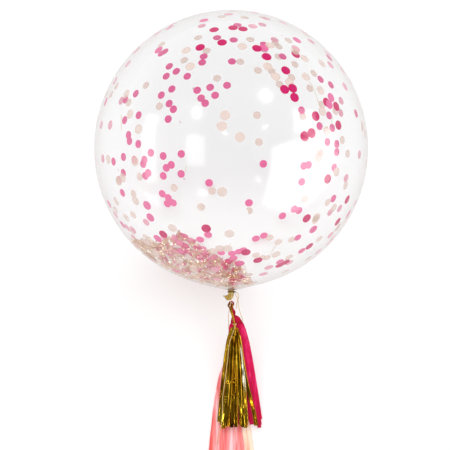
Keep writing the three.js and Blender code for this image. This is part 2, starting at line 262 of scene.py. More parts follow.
class Nodes:
    """Adds nodes to a tree and wires them, each with its values."""

    def __init__(self, tree):
        self.tree = tree

    def add(self, kind, values=None, **settings):
        node = self.tree.nodes.new(kind)
        for key, value in settings.items():
            setattr(node, key, value)
        for key, value in (values or {}).items():
            if isinstance(value, bpy.types.NodeSocket):
                self.tree.links.new(value, node.inputs[key])
            else:
                node.inputs[key].default_value = value
        return node

    def math(self, operation, *values):
        return self.add("ShaderNodeMath", dict(enumerate(values)), operation=operation).outputs[0]

    def vector(self, operation, *values):
        node = self.add("ShaderNodeVectorMath", operation=operation)
        for index, value in enumerate(values):
            place = "Scale" if operation == "SCALE" and index == 1 else index
            if isinstance(value, bpy.types.NodeSocket):
                self.tree.links.new(value, node.inputs[place])
            else:
                node.inputs[place].default_value = value
        return node.outputs[0]


def new_tree(name, kind, inputs, outputs):
    """An empty node group with named sockets: the group, its nodes and what its inputs give."""
    tree = bpy.data.node_groups.new(name, kind)
    for way, sockets in (("INPUT", inputs), ("OUTPUT", outputs)):
        for label, value in sockets.items():
            tree.interface.new_socket(label, in_out=way, socket_type="NodeSocket" + value)
    nodes = Nodes(tree)
    return tree, nodes, nodes.add("NodeGroupInput").outputs


# Cords, in millimetres along each cord's middle

tail_route = [
    (2, -359.8, 183), (1.5, -367, 179), (0.4, -375.5, 175.8), (-0.8, -383.5, 174.6), (-1.8, -389.8, 171.8),
    (-2.2, -391.6, 166.4), (-2, -388, 160.2), (-2, -384.3, 155), (-0.5, -378.8, 149.3), (1, -373.3, 143.6),
    (1.8, -369.4, 137.6), (1.6, -368.4, 130.4), (-1, -371.6, 124), (-4.4, -378.5, 118.4), (-6.4, -390, 110),
    (-6.8, -404, 99), (-6.4, -419, 87.6), (-5.6, -434, 77), (-5, -446, 68.5), (-4.6, -456.5, 64.2),
    (-4.2, -465.5, 63.6), (-4.2, -471, 60.8), (-4, -468.4, 55.2), (-0.5, -465.2, 49.2), (3, -461.8, 43),
    (4.1, -460.6, 40.2),
]
front_route = [
    (11, -434.4, 127.6), (9.6, -440, 124.2), (7.4, -446.6, 118.6), (1.8, -458.4, 110.4), (-3.4, -471.6, 102),
    (-7, -492.5, 90.6), (-9.2, -516.6, 77), (-13.4, -542.7, 66.2), (-17, -568.8, 56.8), (-20.2, -593.1, 50),
    (-23.6, -618, 45.6), (-24, -646.6, 43.6), (-24.4, -669.9, 42), (-26.4, -687.3, 41.6), (-28.6, -701, 38.8),
    (-31.2, -710.5, 29.4), (-33.8, -719, 19.4), (-36, -728.4, 15.4), (-37.4, -741, 14.6),
]
long_end_route = [
    (10.7, -357.8, 178.8), (12.6, -361, 177.2), (15.5, -365.1, 173.4), (18.4, -369.5, 168), (20, -374, 161.8),
    (20.6, -378.9, 154.3), (21.8, -384.7, 146.3), (24.2, -391.6, 138.3), (27.8, -399.9, 130.6),
    (31, -407.6, 123.9), (34.5, -415.5, 117.6),
]
short_end_route = [
    (14.3, -354.9, 179.6), (18, -356.7, 178.6), (20.8, -359.8, 176), (21.4, -363.6, 171.7),
    (20.4, -368.1, 165.6), (18, -372.7, 159.5), (16, -378.1, 152.9), (15, -383.3, 146), (14.6, -387.6, 139.4),
]


def material(name):
    """A new material with its nodes and its Principled shader."""
    made = bpy.data.materials.new(name)
    made.use_nodes = True
    made.node_tree.nodes.clear()
    nodes = Nodes(made.node_tree)
    shader = nodes.add("ShaderNodeBsdfPrincipled")
    output = nodes.add("ShaderNodeOutputMaterial")
    made.node_tree.links.new(shader.outputs[0], output.inputs[0])
    return made, nodes, shader


def object_noise(nodes, scale, detail, stretch):
    """Noise in the piece's own coordinates, drawn out along the axes that stretch makes small."""
    place = nodes.add("ShaderNodeTexCoord").outputs["Object"]
    mapped = nodes.add("ShaderNodeMapping", {"Vector": place, "Scale": stretch})
    return nodes.add(
        "ShaderNodeTexNoise",
        {"Vector": mapped.outputs[0], "Scale": scale, "Detail": detail, "Roughness": 0.55},
    ).outputs["Fac"]


def ramp(nodes, value, stops):
    """A colour for each value, blended between the stops."""
    node = nodes.add("ShaderNodeValToRGB", {"Fac": value})
    elements = node.color_ramp.elements
    while len(elements) < len(stops):
        elements.new(0.5)
    for element, (at, colour) in zip(elements, stops):
        element.position = at
        element.color = (*colour, 1)
    return node.outputs["Color"]


def mixed(nodes, share, first, second, blend="MIX"):
    return nodes.add(
        "ShaderNodeMix", {0: share, 6: first, 7: second}, data_type="RGBA", blend_type=blend
    ).outputs[2]


def bump(nodes, height, strength, distance):
    return nodes.add(
        "ShaderNodeBump", {"Height": height, "Strength": strength, "Distance": distance}
    ).outputs[0]


def grain_tree():
    """The grain that every finish has: a tone that changes over the surface, and its relief."""
    tree, nodes, given = new_tree(
        "surface grain", "ShaderNodeTree",
        {"Scale": "Float", "Detail": "Float", "Stretch": "Vector", "Strength": "Float", "Distance": "Float"},
        {"Tone": "Float", "Normal": "Vector"},
    )
    tone = object_noise(nodes, given["Scale"], given["Detail"], given["Stretch"])
    relief = bump(nodes, tone, given["Strength"], given["Distance"])
    nodes.add("NodeGroupOutput", {"Tone": tone, "Normal": relief})
    return tree


surface_grain = grain_tree()


def grain(nodes, scale, detail, stretch=(1, 1, 1), strength=0.0, distance=1 * MM):
    """The surface grain with a finish's own values: its Tone and its Normal."""
    return nodes.add(
        "ShaderNodeGroup",
        {"Scale": scale, "Detail": detail, "Stretch": stretch, "Strength": strength, "Distance": distance},
        node_tree=surface_grain,
    ).outputs


def wire(nodes, shader, **sockets):
    """Sets or links the shader's sockets, named with underscores for spaces."""
    for key, value in sockets.items():
        socket = shader.inputs[key.replace("_", " ")]
        if isinstance(value, bpy.types.NodeSocket):
            nodes.tree.links.new(value, socket)
        else:
            socket.default_value = value


def string_material(name, dark, middle, light):
    """Flecked metallic string."""
    made, nodes, shader = material(name)
    fleck = grain(nodes, 900, 2)["Tone"]
    wire(
        nodes, shader,
        Base_Color=ramp(nodes, fleck, [(0.35, dark), (0.55, middle), (0.75, light)]),
        Metallic=0.3, Roughness=0.4,
        Normal=grain(nodes, 1600, 2, strength=0.3, distance=0.3 * MM)["Normal"],
    )
    return made


gold_string = string_material(
    "gold_string", (0.46, 0.28, 0.09), (0.76, 0.53, 0.24), (0.92, 0.74, 0.42),
)
# A darker copy of the gold string for the coil and knot at the neck: painted shade on the same string that is
# lit elsewhere.
shaded_string = string_material(
    "worn_gold_string", (0.07, 0.04, 0.005), (0.16, 0.09, 0.015), (0.42, 0.28, 0.06),
)


def in_metres(points):
    return [Vector(p) * MM for p in points]


def string_piece(name, node, route):
    """A loose string along its route, which stands for one of the solids."""
    path = smooth_path(in_metres(route), STRING_STEP)
    piece = outward(tube_object(name, string_rings(path), [gold_string]))
    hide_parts(node)
    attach(piece, "root")
    tuple(path[0])
    path_length(path)
    [tuple(p) for p in path]
    return piece


# Knots and windings

KNOT_STEPS = 60
KNOT_HEIGHT = 0.55  # of a knot's reach
KNOT_REACH = 1.9 * MM
KNOT_STRING = STRING_RADIUS * 0.95
KNOT_OUT = 3.5 * MM  # from the side of the neck or the stem to the knot's middle
KNOT_FAR, KNOT_NEAR = 0.94, 0.34  # the knot's direction, seen along the neck or the stem
COIL_STEPS = 28
COIL_PITCH = 2 * STRING_RADIUS * 0.94
COIL_STRING = STRING_RADIUS * 0.96
COIL_SIDES = 10
COIL_SHORT = 0.9  # of a turn, which the knot takes up
COIL_GAP = 0.45 * MM  # between what is tied and the string


def knot_rings(middle, reach, radius, normal):
    """A small overhand knot: a trefoil of string round its middle."""
    normal = Vector(normal).normalized()
    side = normal.orthogonal().normalized()
    over = normal.cross(side)
    points = []
    for k in range(KNOT_STEPS + 1):
        t = 2 * math.pi * k / KNOT_STEPS
        wide = (2 + math.cos(3 * t)) / 3
        points.append(
            middle
            + side * math.cos(2 * t) * wide * reach
            + over * math.sin(2 * t) * wide * reach
            + normal * math.sin(3 * t) * reach * KNOT_HEIGHT
        )
    return string_rings(points, radius)


def coloured(tree, nodes, geometry, given):
    """Ends a geometry tree: puts on its material and gives the tree back."""
    made = nodes.add("GeometryNodeSetMaterial", {"Geometry": geometry, "Material": given["Material"]})
    nodes.add("NodeGroupOutput", {0: made.outputs[0]})
    return tree


def crumpled(nodes, geometry, given):
    """Shifts each point by a noise of its place."""
    place = nodes.add("GeometryNodeInputPosition").outputs[0]
    noise = nodes.add(
        "ShaderNodeTexNoise", {"Vector": place, "Scale": given["Crumple scale"], "Detail": 1.0}
    ).outputs["Color"]
    offset = nodes.vector("SCALE", nodes.vector("SUBTRACT", noise, (0.5, 0.5, 0.5)), given["Crumple"])
    return nodes.add("GeometryNodeSetPosition", {"Geometry": geometry, "Offset": offset}).outputs[0]


def winding_tree():
    """Winds a string: sweeps a round section along the given line."""
    tree, nodes, given = new_tree(
        "wound string", "GeometryNodeTree",
        {"Geometry": "Geometry", "String radius": "Float", "Material": "Material"}, {"Geometry": "Geometry"},
    )
    line = nodes.add("GeometryNodeMeshToCurve", {"Mesh": given["Geometry"]})
    section = nodes.add(
        "GeometryNodeCurvePrimitiveCircle", {"Resolution": COIL_SIDES, "Radius": given["String radius"]}
    )
    swept = nodes.add(
        "GeometryNodeCurveToMesh",
        {"Curve": line.outputs[0], "Profile Curve": section.outputs[0], "Fill Caps": True},
    )
    smooth = nodes.add("GeometryNodeSetShadeSmooth", {0: swept.outputs[0]})
    real = nodes.add("GeometryNodeRealizeInstances", {0: smooth.outputs[0]})
    return coloured(tree, nodes, real.outputs[0], given)


def grown(name, source, tree, **inputs):
    """The plain mesh that a geometry tree makes of a source object, which is then removed."""
    modifier = source.modifiers.new("grown", "NODES")
    modifier.node_group = tree
    for item in tree.interface.items_tree:
        wanted = item.name.replace(" ", "_").lower()
        if item.item_type == "SOCKET" and item.in_out == "INPUT" and wanted in inputs:
            modifier[item.identifier] = inputs[wanted]
    graph = bpy.context.evaluated_depsgraph_get()
    mesh = bpy.data.meshes.new_from_object(source.evaluated_get(graph), depsgraph=graph)
    mesh.name = name
    bpy.data.objects.remove(source)
    return link(bpy.data.objects.new(name, mesh))


def joined(name, parts):
    """One object of several, with their materials."""
    work = bmesh.new()
    materials = []
    for part in parts:
        first = len(work.faces)
        work.from_mesh(part.data)
        work.faces.ensure_lookup_table()
        for face in work.faces[first:]:
            own = part.data.materials[face.material_index]
            if own not in materials:
                materials.append(own)
            face.material_index = materials.index(own)
            face.smooth = True
        bpy.data.objects.remove(part)
    mesh = bpy.data.meshes.new(name)
    work.to_mesh(mesh)
    work.free()
    for own in materials:
        mesh.materials.append(own)
    return link(bpy.data.objects.new(name, mesh))


def line_object(name, points):
    """A mesh of edges only, through the points in turn."""
    mesh = bpy.data.meshes.new(name)
    mesh.from_pydata([tuple(p) for p in points], [(k, k + 1) for k in range(len(points) - 1)], [])
    return link(bpy.data.objects.new(name, mesh))


wound_string = winding_tree()


def wound(name, place, radius, turns, finish):
    """Turns of string side by side, round the line that place() gives."""
    points = []
    for k in range(round(COIL_STEPS * turns) + 1):
        turn = 2 * math.pi * k / COIL_STEPS
        points.append(place(math.cos(turn) * radius, k / COIL_STEPS * COIL_PITCH, math.sin(turn) * radius))
    return grown(name, line_object(name, points), wound_string, string_radius=COIL_STRING, material=finish)


def finish_piece(piece, slot, *nodes):
    """Says which solids a piece stands for and what it rides on; the slot argument is not used."""
    if nodes:
        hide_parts(*nodes)
    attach(piece, "root")
    return piece


def neck_tie():
    """The string wound round the neck, with its knot at the right."""
    radius = NECK_RADIUS + COIL_GAP + STRING_RADIUS

    def place(side, gone, over):
        return along_neck(side, TIE_FROM + STRING_RADIUS + gone, over)

    # The coil and the knot take the darker copy of the string, which is painted shade.
    coil = wound("neck_coil", place, radius, NECK_TURNS - COIL_SHORT, shaded_string)
    reach = NECK_RADIUS + KNOT_OUT
    middle = along_neck(reach * KNOT_FAR, TIE_MIDDLE, reach * KNOT_NEAR)
    rings = knot_rings(middle, KNOT_REACH, KNOT_STRING, neck_axis)
    knot = outward(tube_object("neck_knot", rings, [shaded_string]))
    return finish_piece(joined("neck_tie_wound", [coil, knot]), "cord_gold", "neck_tie")


# Tassels: each one's eye from the tie and sideways, its waist as a share of its length and how far
# right of the eye, the further lean to its tip, its half-width there, how early it spreads, its
# share of the drop, its height in the pile and how thick its stem is gathered

tassels = {
    "magenta": dict(
        eye_at=20, eye_x=1, waist_at=0.1, waist_x=8, lean=27, half=52, power=0.45, share=0.9, rest=20.8,
        gather=1.3,
    ),
    "gold": dict(
        eye_at=31, eye_x=-2, waist_at=0.18, waist_x=12.4, lean=-4, half=45, power=0.42, share=1, rest=34.2,
        gather=1,
    ),
    "pink": dict(
        eye_at=115, eye_x=-4, waist_at=0.13, waist_x=0, lean=-17, half=47, power=0.38, share=0.74, rest=7.2,
        gather=1,
    ),
    "cream": dict(
        eye_at=108, eye_x=3, waist_at=0.13, waist_x=6, lean=39, half=20, power=0.45, share=0.52, rest=7.2,
        gather=1,
    ),
}
STRIP_THICKNESS = 0.3 * MM
STRIP_STEPS = 44
PILE_HALF = 3.9 * MM  # half the height that the strips of a tassel fill
UNEVEN_TIPS = 0.06
EYE_RINGS = 48
EYE_SIDES = 20
EYE_FOLD = 0.16  # depth of the folds, as a share of the loop's thickness
EYE_TWIST = 2.5
EYE_BULGE = 1.5  # how much thicker the loop is on its outside
EYE_DROP = 1.4 * MM
STEM_RINGS = 64
STEM_SIDES = 36
STEM_PLEATS = 7
STEM_PLEAT_DEPTH = 0.3
STEM_PINCH = 0.1
STEM_FULL = 1.02
STEM_PAST_WAIST = 0.05
SHOULDER_RINGS = 40
SHOULDER_SIDES = 120
SHOULDER_THICK = (3.9 * MM, 3.3 * MM)  # at the waist and where it is cut
SHOULDER_CORE = 0.76  # share of the width that the pleats leave
PLEAT_DEPTH = 0.17
SMALL_PLEAT_DEPTH = 0.07
PLEAT_WANDER = 0.05


class TasselLine:
    """Where a tassel lies: its middle line, its width and the place of each of its points."""

    def __init__(self, name):
        spec = tassels[name]
        self.name = name
        self.eye_x = spec["eye_x"] * MM
        self.waist_x = spec["waist_x"] * MM
        self.lean = spec["lean"] * MM
        self.half = spec["half"] * MM
        self.waist_at = spec["waist_at"]
        self.shoulder_at = self.waist_at + SHOULDER_SHARE
        self.power = spec["power"]
        self.gather = spec["gather"]
        points = []
        start = spec["eye_at"] * MM - LEAD
        for k in range(round((TASSEL_LENGTH + 2 * LEAD) / LEAD) + 1):
            distance = start + k * LEAD
            settled = 1 - math.exp(-max(0, distance) / SETTLE)
            drop = tie_point.z * max(0, 1 - distance / LANDING) ** 2
            height = drop * spec["share"] + spec["rest"] * MM * settled
            points.append(Vector((0, tie_point.y - distance, height)))
        self.lead = (points[1] - points[0]).length
        self.line = smooth_path(points, 2 * MM)
        self.step = path_length(self.line) / (len(self.line) - 1)

    def spread(self, share):
        return max(0, (share - self.waist_at) / (1 - self.waist_at)) ** self.power

    def half_width(self, share):
        return lerp(WAIST_HALF, self.half, self.spread(share))

    def place(self, share, side, over):
        at = (self.lead + share * TASSEL_LENGTH) / self.step
        k = min(len(self.line) - 2, int(at))
        point = self.line[k].lerp(self.line[k + 1], at - k)
        up = (self.line[k + 1] - self.line[k]).normalized().cross(side_axis)
        across = min(1, abs(side) / self.half_width(share))
        swell = 1 + SWELL * (1 - across ** 2) * smoothstep(self.waist_at, self.shoulder_at, share)
        to_waist = self.waist_x * smoothstep(0, self.waist_at, share)
        point.x = self.eye_x + to_waist + self.lean * self.spread(share) + side
        hang = DRAPE_DEPTH * smoothstep(DRAPE_FROM, DRAPE_TO, point.x) if self.name == "magenta" else 0
        return point + up * over * swell - Vector((0, 0, hang))


def folded_ring(laid, share, radius, flat, twist):
    """A ring of gathered sheet round the tassel's line, its folds pressed to a flattened round."""
    ring = []
    for s in range(STEM_SIDES):
        round_it = 2 * math.pi * s / STEM_SIDES
        crease = abs(math.sin(STEM_PLEATS * round_it / 2 + 1.3 * twist)) ** 0.7
        reach = radius * (1 - STEM_PLEAT_DEPTH + STEM_PLEAT_DEPTH * crease)
        wide, deep = reach * math.cos(round_it), reach * flat * math.sin(round_it)
        across = wide * math.cos(twist) - deep * math.sin(twist)
        up = wide * math.sin(twist) + deep * math.cos(twist)
        ring.append(laid.place(share, across, up))
    return ring


def head_parts(laid, finish, twists, flat):
    """The loop and the stem: a rope of gathered sheet, twisted down to the waist."""
    rings = []
    for k in range(EYE_RINGS + 1):
        round_eye = 2 * math.pi * k / EYE_RINGS
        ring = []
        for s in range(EYE_SIDES):
            turn = 2 * math.pi * s / EYE_SIDES
            fold = 1 - EYE_FOLD * (1 - abs(math.cos(2 * turn + EYE_TWIST * round_eye)))
            out = EYE_RADIUS + EYE_WIRE * fold * math.cos(turn) * (EYE_BULGE if math.cos(turn) > 0 else 1)
            at = (EYE_DROP - out * math.cos(round_eye)) / TASSEL_LENGTH
            ring.append(laid.place(at, out * math.sin(round_eye), EYE_WIRE * fold * math.sin(turn)))
        rings.append(ring)
    eye = outward(tube_object("eye", rings, [finish]))
    rings = []
    for k in range(STEM_RINGS + 1):
        share = lerp(EYE_RADIUS / TASSEL_LENGTH, laid.waist_at + STEM_PAST_WAIST, k / STEM_RINGS)
        twist = 2 * math.pi * twists * k / STEM_RINGS
        pinch = 1 - STEM_PINCH * math.sin(7 * k / STEM_RINGS + twists)
        wide = STEM_RADIUS * STEM_FULL * pinch * laid.gather
        rings.append(folded_ring(laid, share, wide, flat / laid.gather, twist))
    stem = outward(tube_object("stem", rings, [finish]))
    return [eye, stem]


def shoulder_part(laid, finish, seed):
    """The uncut sheet under the waist, in sharp pleats that open out."""
    rings = []
    for k in range(SHOULDER_RINGS + 1):
        share = lerp(laid.waist_at - 0.004, laid.shoulder_at + 0.02, k / SHOULDER_RINGS)
        opened = smoothstep(laid.waist_at, laid.shoulder_at, share)
        thick = lerp(*SHOULDER_THICK, opened)
        ring = []
        for s in range(SHOULDER_SIDES):
            turn = 2 * math.pi * s / SHOULDER_SIDES
            pleat = abs(math.sin(6.5 * turn + seed + 1.5 * opened * math.sin(3 * turn)))
            small = abs(math.sin(17 * turn + 2 * seed))
            out = SHOULDER_CORE + PLEAT_DEPTH * pleat ** 0.8 + SMALL_PLEAT_DEPTH * small
            out += PLEAT_WANDER * math.sin(9 * k / SHOULDER_RINGS + 5 * turn + seed)
            wide = laid.half_width(share)
            ring.append(laid.place(share, out * math.cos(turn) * wide, out * math.sin(turn) * thick))
        rings.append(ring)
    return outward(tube_object("shoulder", rings, [finish]))


def fringe_tree():
    """Sweeps each guide line into a thin flat strip, crumpled by a noise of its place."""
    tree, nodes, given = new_tree(
        "fringe strips", "GeometryNodeTree",
        {
            "Geometry": "Geometry", "Strip width": "Float", "Strip thickness": "Float", "Crumple": "Float",
            "Crumple scale": "Float", "Material": "Material",
        },
        {"Geometry": "Geometry"},
    )
    upright = nodes.add("GeometryNodeSetCurveNormal", {"Curve": given["Geometry"]}, mode="Z_UP")
    section = nodes.add(
        "GeometryNodeCurvePrimitiveQuadrilateral",
        {"Width": given["Strip width"], "Height": given["Strip thickness"]},
    )
    fine = nodes.add("GeometryNodeSubdivideCurve", {"Curve": section.outputs[0], "Cuts": 3})
    swept = nodes.add(
        "GeometryNodeCurveToMesh",
        {"Curve": upright.outputs[0], "Profile Curve": fine.outputs[0], "Fill Caps": True},
    )
    real = nodes.add("GeometryNodeRealizeInstances", {0: crumpled(nodes, swept.outputs[0], given)})
    return coloured(tree, nodes, real.outputs[0], given)


fringe_strips = fringe_tree()


def guides_object(name, lines):
    """Poly curves with a tilt and a radius at each point."""
    curve = bpy.data.curves.new(name, "CURVE")
    curve.dimensions = "3D"
    curve.twist_mode = "Z_UP"
    for line in lines:
        spline = curve.splines.new("POLY")
        spline.points.add(len(line) - 1)
        for point, (at, tilt, radius) in zip(spline.points, line):
            point.co = (*at, 1)
            point.tilt = tilt
            point.radius = radius
    return link(bpy.data.objects.new(name, curve))


def strip_line(laid, lane, level, tip, wander=0.0, phase=0.0, tilt=0.0, splay=0.0, flash=None, lift=0.0):
    """The guide line of one cut strip, from inside the shoulder to its tip."""
    line = []
    from_share = laid.shoulder_at - 0.1
    for k in range(STRIP_STEPS + 1):
        share = lerp(from_share, tip, k / STRIP_STEPS)
        free = smoothstep(laid.shoulder_at - 0.04, 1, share)
        reach = max(0, laid.half_width(share) - STRIP_WIDTH * 0.5)
        side = lane * reach + wander * free * math.sin(3.2 * share + phase) + splay * free ** 1.6
        over = level * lerp(0.85, 1, free) + 0.7 * MM * free * math.sin(12 * share + phase) + lift * free
        lean = tilt * smoothstep(laid.shoulder_at - 0.08, laid.shoulder_at + 0.08, share)
        lean += 0.12 * free * math.sin(8 * share + 2 * phase)
        if flash:
            middle, width, more = flash
            lean += more * math.exp(-(((share - middle) / width) ** 2))
        width = lerp(0.55, 1, smoothstep(from_share, laid.shoulder_at + 0.08, share))
        line.append((laid.place(share, side, over), lean, width))
    return line


def loose_strips(laid, seed, count, tilt_range, wander=2.5 * MM):
    """The guide lines of strips that hang in layers, each a little out of its lane."""
    rng = random.Random(seed)
    lines = []
    for index in range(count):
        lane = lerp(-1, 1, (index + 0.6 * (rng.random() - 0.5)) / (count - 1))
        lane = max(-1, min(1, lane))
        layer = (index * 5 % 7) / 6 * 2 - 1
        lines.append(strip_line(
            laid, lane, layer * PILE_HALF, 1 - UNEVEN_TIPS * rng.random(), (rng.random() * 2 - 1) * wander,
            rng.random() * ANY_TURN, (rng.random() * 2 - 1) * tilt_range,
        ))
    return lines


def tassel(
    name, finish, head_finish, slot, lines, crumple, crumple_scale, seed, twists, flat,
    few_lines=(), few_finish=None,
):
    """One tassel: its head, its shoulder and its cut strips, a few of them in a finish of their own."""
    laid = TasselLine(name)
    parts = head_parts(laid, head_finish, twists, flat) + [shoulder_part(laid, head_finish, seed)]
    for some, sheet in ((lines, finish), (few_lines, few_finish)):
        if some:
            parts.append(grown(
                "fringe", guides_object("guides", some), fringe_strips,
                strip_width=STRIP_WIDTH, strip_thickness=STRIP_THICKNESS, crumple=crumple,
                crumple_scale=crumple_scale, material=sheet,
            ))
    return finish_piece(joined(f"{name}_tassel", parts), slot, f"tassel_{name}")


def waist_tie():
    """The string wound round the gold tassel's waist, with its knot in front."""
    laid = TasselLine("gold")
    start = (laid.waist_at - 0.03) * TASSEL_LENGTH
    radius = STEM_RADIUS + COIL_GAP + STRING_RADIUS

    def place(side, gone, over):
        return laid.place((start + STRING_RADIUS + gone) / TASSEL_LENGTH, side, over)

    coil = wound("waist_coil", place, radius, WAIST_TURNS - COIL_SHORT, gold_string)
    reach = STEM_RADIUS + KNOT_OUT
    middle = place(reach * KNOT_NEAR, STRING_RADIUS, reach * KNOT_FAR)
    rings = knot_rings(middle, KNOT_REACH, KNOT_STRING, (0.2, -0.8, -0.6))
    knot = outward(tube_object("waist_knot", rings, [gold_string]))
    return finish_piece(joined("waist_tie_wound", [coil, knot]), "cord_gold", "waist_tie")


def tail_knot():
    """The larger knot that stops the tail string under the last loop."""
    before, end = in_metres(tail_route[-2:])
    middle = end + (end - before).normalized() * 4.1 * MM
    rings = knot_rings(middle, 2.6 * MM, STRING_RADIUS * 1.1, end - before)
    return finish_piece(outward(tube_object("end_knot", rings, [gold_string])), "cord_gold", "tail_knot")


neck_tie_piece = neck_tie()
waist_tie_piece = waist_tie()
tail_knot_piece = tail_knot()
string_piece("tassel_string", "tail_string", tail_route)
string_piece("string_down_the_front", "front_string", front_route)
string_piece("long_loose_end", "neck_string_long", long_end_route)
string_piece("short_loose_end", "neck_string_short", short_end_route)


# Tissue and foil

def tissue_material(name, deep, middle, light, streaks, sheen=0.1, painted_glow=0.0):
    """Streaked tissue with a painted glow in its own tones, which stands in for light coming through it."""
    made, nodes, shader = material(name)
    # The streak tones are the tissue's own uneven colour, and in part painted shade between the strips and
    # painted highlight on them.
    streak_and_painted_shade = grain(nodes, streaks, 4, (1, 0.07, 0.6))["Tone"]
    tone = ramp(nodes, streak_and_painted_shade, [(0.36, deep), (0.5, middle), (0.64, light)])
    # The emission is a painted glow, not a lamp.
    wire(
        nodes, shader,
        Base_Color=tone, Emission_Color=tone, Emission_Strength=painted_glow,
        Roughness=0.75, Sheen_Weight=sheen, Specular_IOR_Level=0.25,
        Normal=grain(nodes, 260, 4, (1, 0.35, 1), strength=0.25, distance=0.6 * MM)["Normal"],
    )
    return made


def crease_tree():
    """The relief of crumpled foil: sharp creases between flat cells, over long soft waves."""
    tree, nodes, given = new_tree(
        "foil creases", "ShaderNodeTree", {"Crease": "Float", "Wave": "Float"}, {"Normal": "Vector"},
    )
    place = nodes.add("ShaderNodeTexCoord").outputs["Object"]
    cells = nodes.add("ShaderNodeTexVoronoi", {"Vector": place, "Scale": 150}, feature="DISTANCE_TO_EDGE")
    waves = nodes.math("MULTIPLY", object_noise(nodes, 55, 2, (1, 0.3, 1)), given["Wave"])
    height = nodes.math("MULTIPLY_ADD", cells.outputs["Distance"], given["Crease"], waves)
    nodes.add("NodeGroupOutput", {"Normal": bump(nodes, height, 1.0, 3 * MM)})
    return tree


foil_creases = crease_tree()


def foil_material(name, crease, wave, roughness, tones, pale_at=None):
    """Metal foil, in tones that change along the strips, or that grow pale near a point as a painted
    highlight.
    """
    made, nodes, shader = material(name)
    tone = grain(nodes, 40, 3, (1, 0.3, 1))["Tone"]
    # Paler towards the given point: a painted highlight.
    if pale_at:
        place = nodes.add("ShaderNodeTexCoord").outputs["Object"]
        gone = nodes.add("ShaderNodeVectorMath", {0: place, 1: pale_at}, operation="DISTANCE")
        tone = nodes.math("MULTIPLY_ADD", gone.outputs["Value"], -10.0, 1.0)
    creased = nodes.add("ShaderNodeGroup", {"Crease": crease, "Wave": wave}, node_tree=foil_creases)
    wire(
        nodes, shader,
        Base_Color=ramp(nodes, tone, tones),
        Metallic=1.0, Roughness=roughness,
        Normal=creased.outputs["Normal"],
    )
    return made


magenta_tissue = tissue_material(
    "magenta_tissue", (0.56, 0.0, 0.05), (0.76, 0.0, 0.09), (0.93, 0.05, 0.22), 55, sheen=0.0,
)
# A darker copy of the magenta tissue for the twisted loop, stem and shoulder: the deeper tone of the tightly
# gathered sheet, with painted shade over it.
magenta_twist = tissue_material(
    "magenta_twist", (0.22, 0.0, 0.002), (0.42, 0.0, 0.015), (0.62, 0.0, 0.06), 90, sheen=0.0,
)
# The pink and the cream tissue have a painted glow. The pink's salmon and whitish streaks are partly painted
# shade and highlight.
pink_tissue = tissue_material(
    "pink_tissue", (0.8, 0.11, 0.1), (0.92, 0.28, 0.28), (0.98, 0.6, 0.61), 62, painted_glow=0.16,
)
cream_tissue = tissue_material(
    "cream_tissue", (0.9, 0.5, 0.36), (0.97, 0.72, 0.55), (1.0, 0.88, 0.76), 70, painted_glow=0.14,
)
FOIL_TONES = [(0.32, (0.2, 0.07, 0.002)), (0.5, (0.4, 0.2, 0.008)), (0.68, (0.86, 0.58, 0.04))]
gold_foil = foil_material("gold_foil", 0.04, 0.16, 0.16, FOIL_TONES)
creased_foil = foil_material("creased_foil", 0.5, 1.4, 0.12, FOIL_TONES)

magenta_line = TasselLine("magenta")
tassel(
    "magenta", magenta_tissue, magenta_twist, "tissue_magenta",
    loose_strips(magenta_line, seed=3, count=25, tilt_range=0.12) + [
        strip_line(magenta_line, 0.97, 2 * MM, 0.93, splay=4 * MM),
        strip_line(magenta_line, 0.72, 3.5 * MM, 0.99, wander=2 * MM),
        strip_line(magenta_line, -1.05, 3 * MM, 0.9, splay=10 * MM),
        strip_line(magenta_line, -1.2, 2 * MM, 0.9, splay=14 * MM),
    ],
    crumple=1.6 * MM, crumple_scale=30, seed=3, twists=1.3, flat=0.75,
)
# The painted pale highlight on the flash strip is centred at this step.
FLASH_STEP = 16  # where along its strip the white flash is brightest
CUT_STEPS = 30  # the length of the under strips that leave a gap between the upper ones
gold_line = TasselLine("gold")
gold_top = [
    strip_line(gold_line, -1, 3.2 * MM, 0.95, tilt=-0.3, phase=1.0, flash=(0.42, 0.06, -0.6)),
    strip_line(gold_line, -0.8, 4 * MM, 0.975, tilt=-0.05, phase=2.0),
    strip_line(gold_line, -0.55, 4.2 * MM, 0.965, tilt=0.04, phase=0.3),
    strip_line(gold_line, -0.3, 4.4 * MM, 0.99, tilt=-0.04, phase=1.7, wander=2 * MM),
    strip_line(gold_line, -0.05, 4.2 * MM, 0.97, tilt=0.05, phase=2.9, wander=-2 * MM),
    strip_line(gold_line, 0.17, 4.5 * MM, 0.995, tilt=0.0, phase=4.0),
    strip_line(gold_line, 0.55, 4.6 * MM, 0.985, tilt=-0.03, phase=5.0),
    strip_line(gold_line, 0.76, 4.2 * MM, 0.975, tilt=0.03, phase=5.6),
    strip_line(gold_line, 1.0, 2.6 * MM, 0.98, tilt=-0.05, phase=2.2, splay=24 * MM),
]
flash_strip = strip_line(gold_line, 0.93, 4.8 * MM, 0.965, tilt=0.1, phase=0.9, flash=(0.42, 0.14, 0.75))
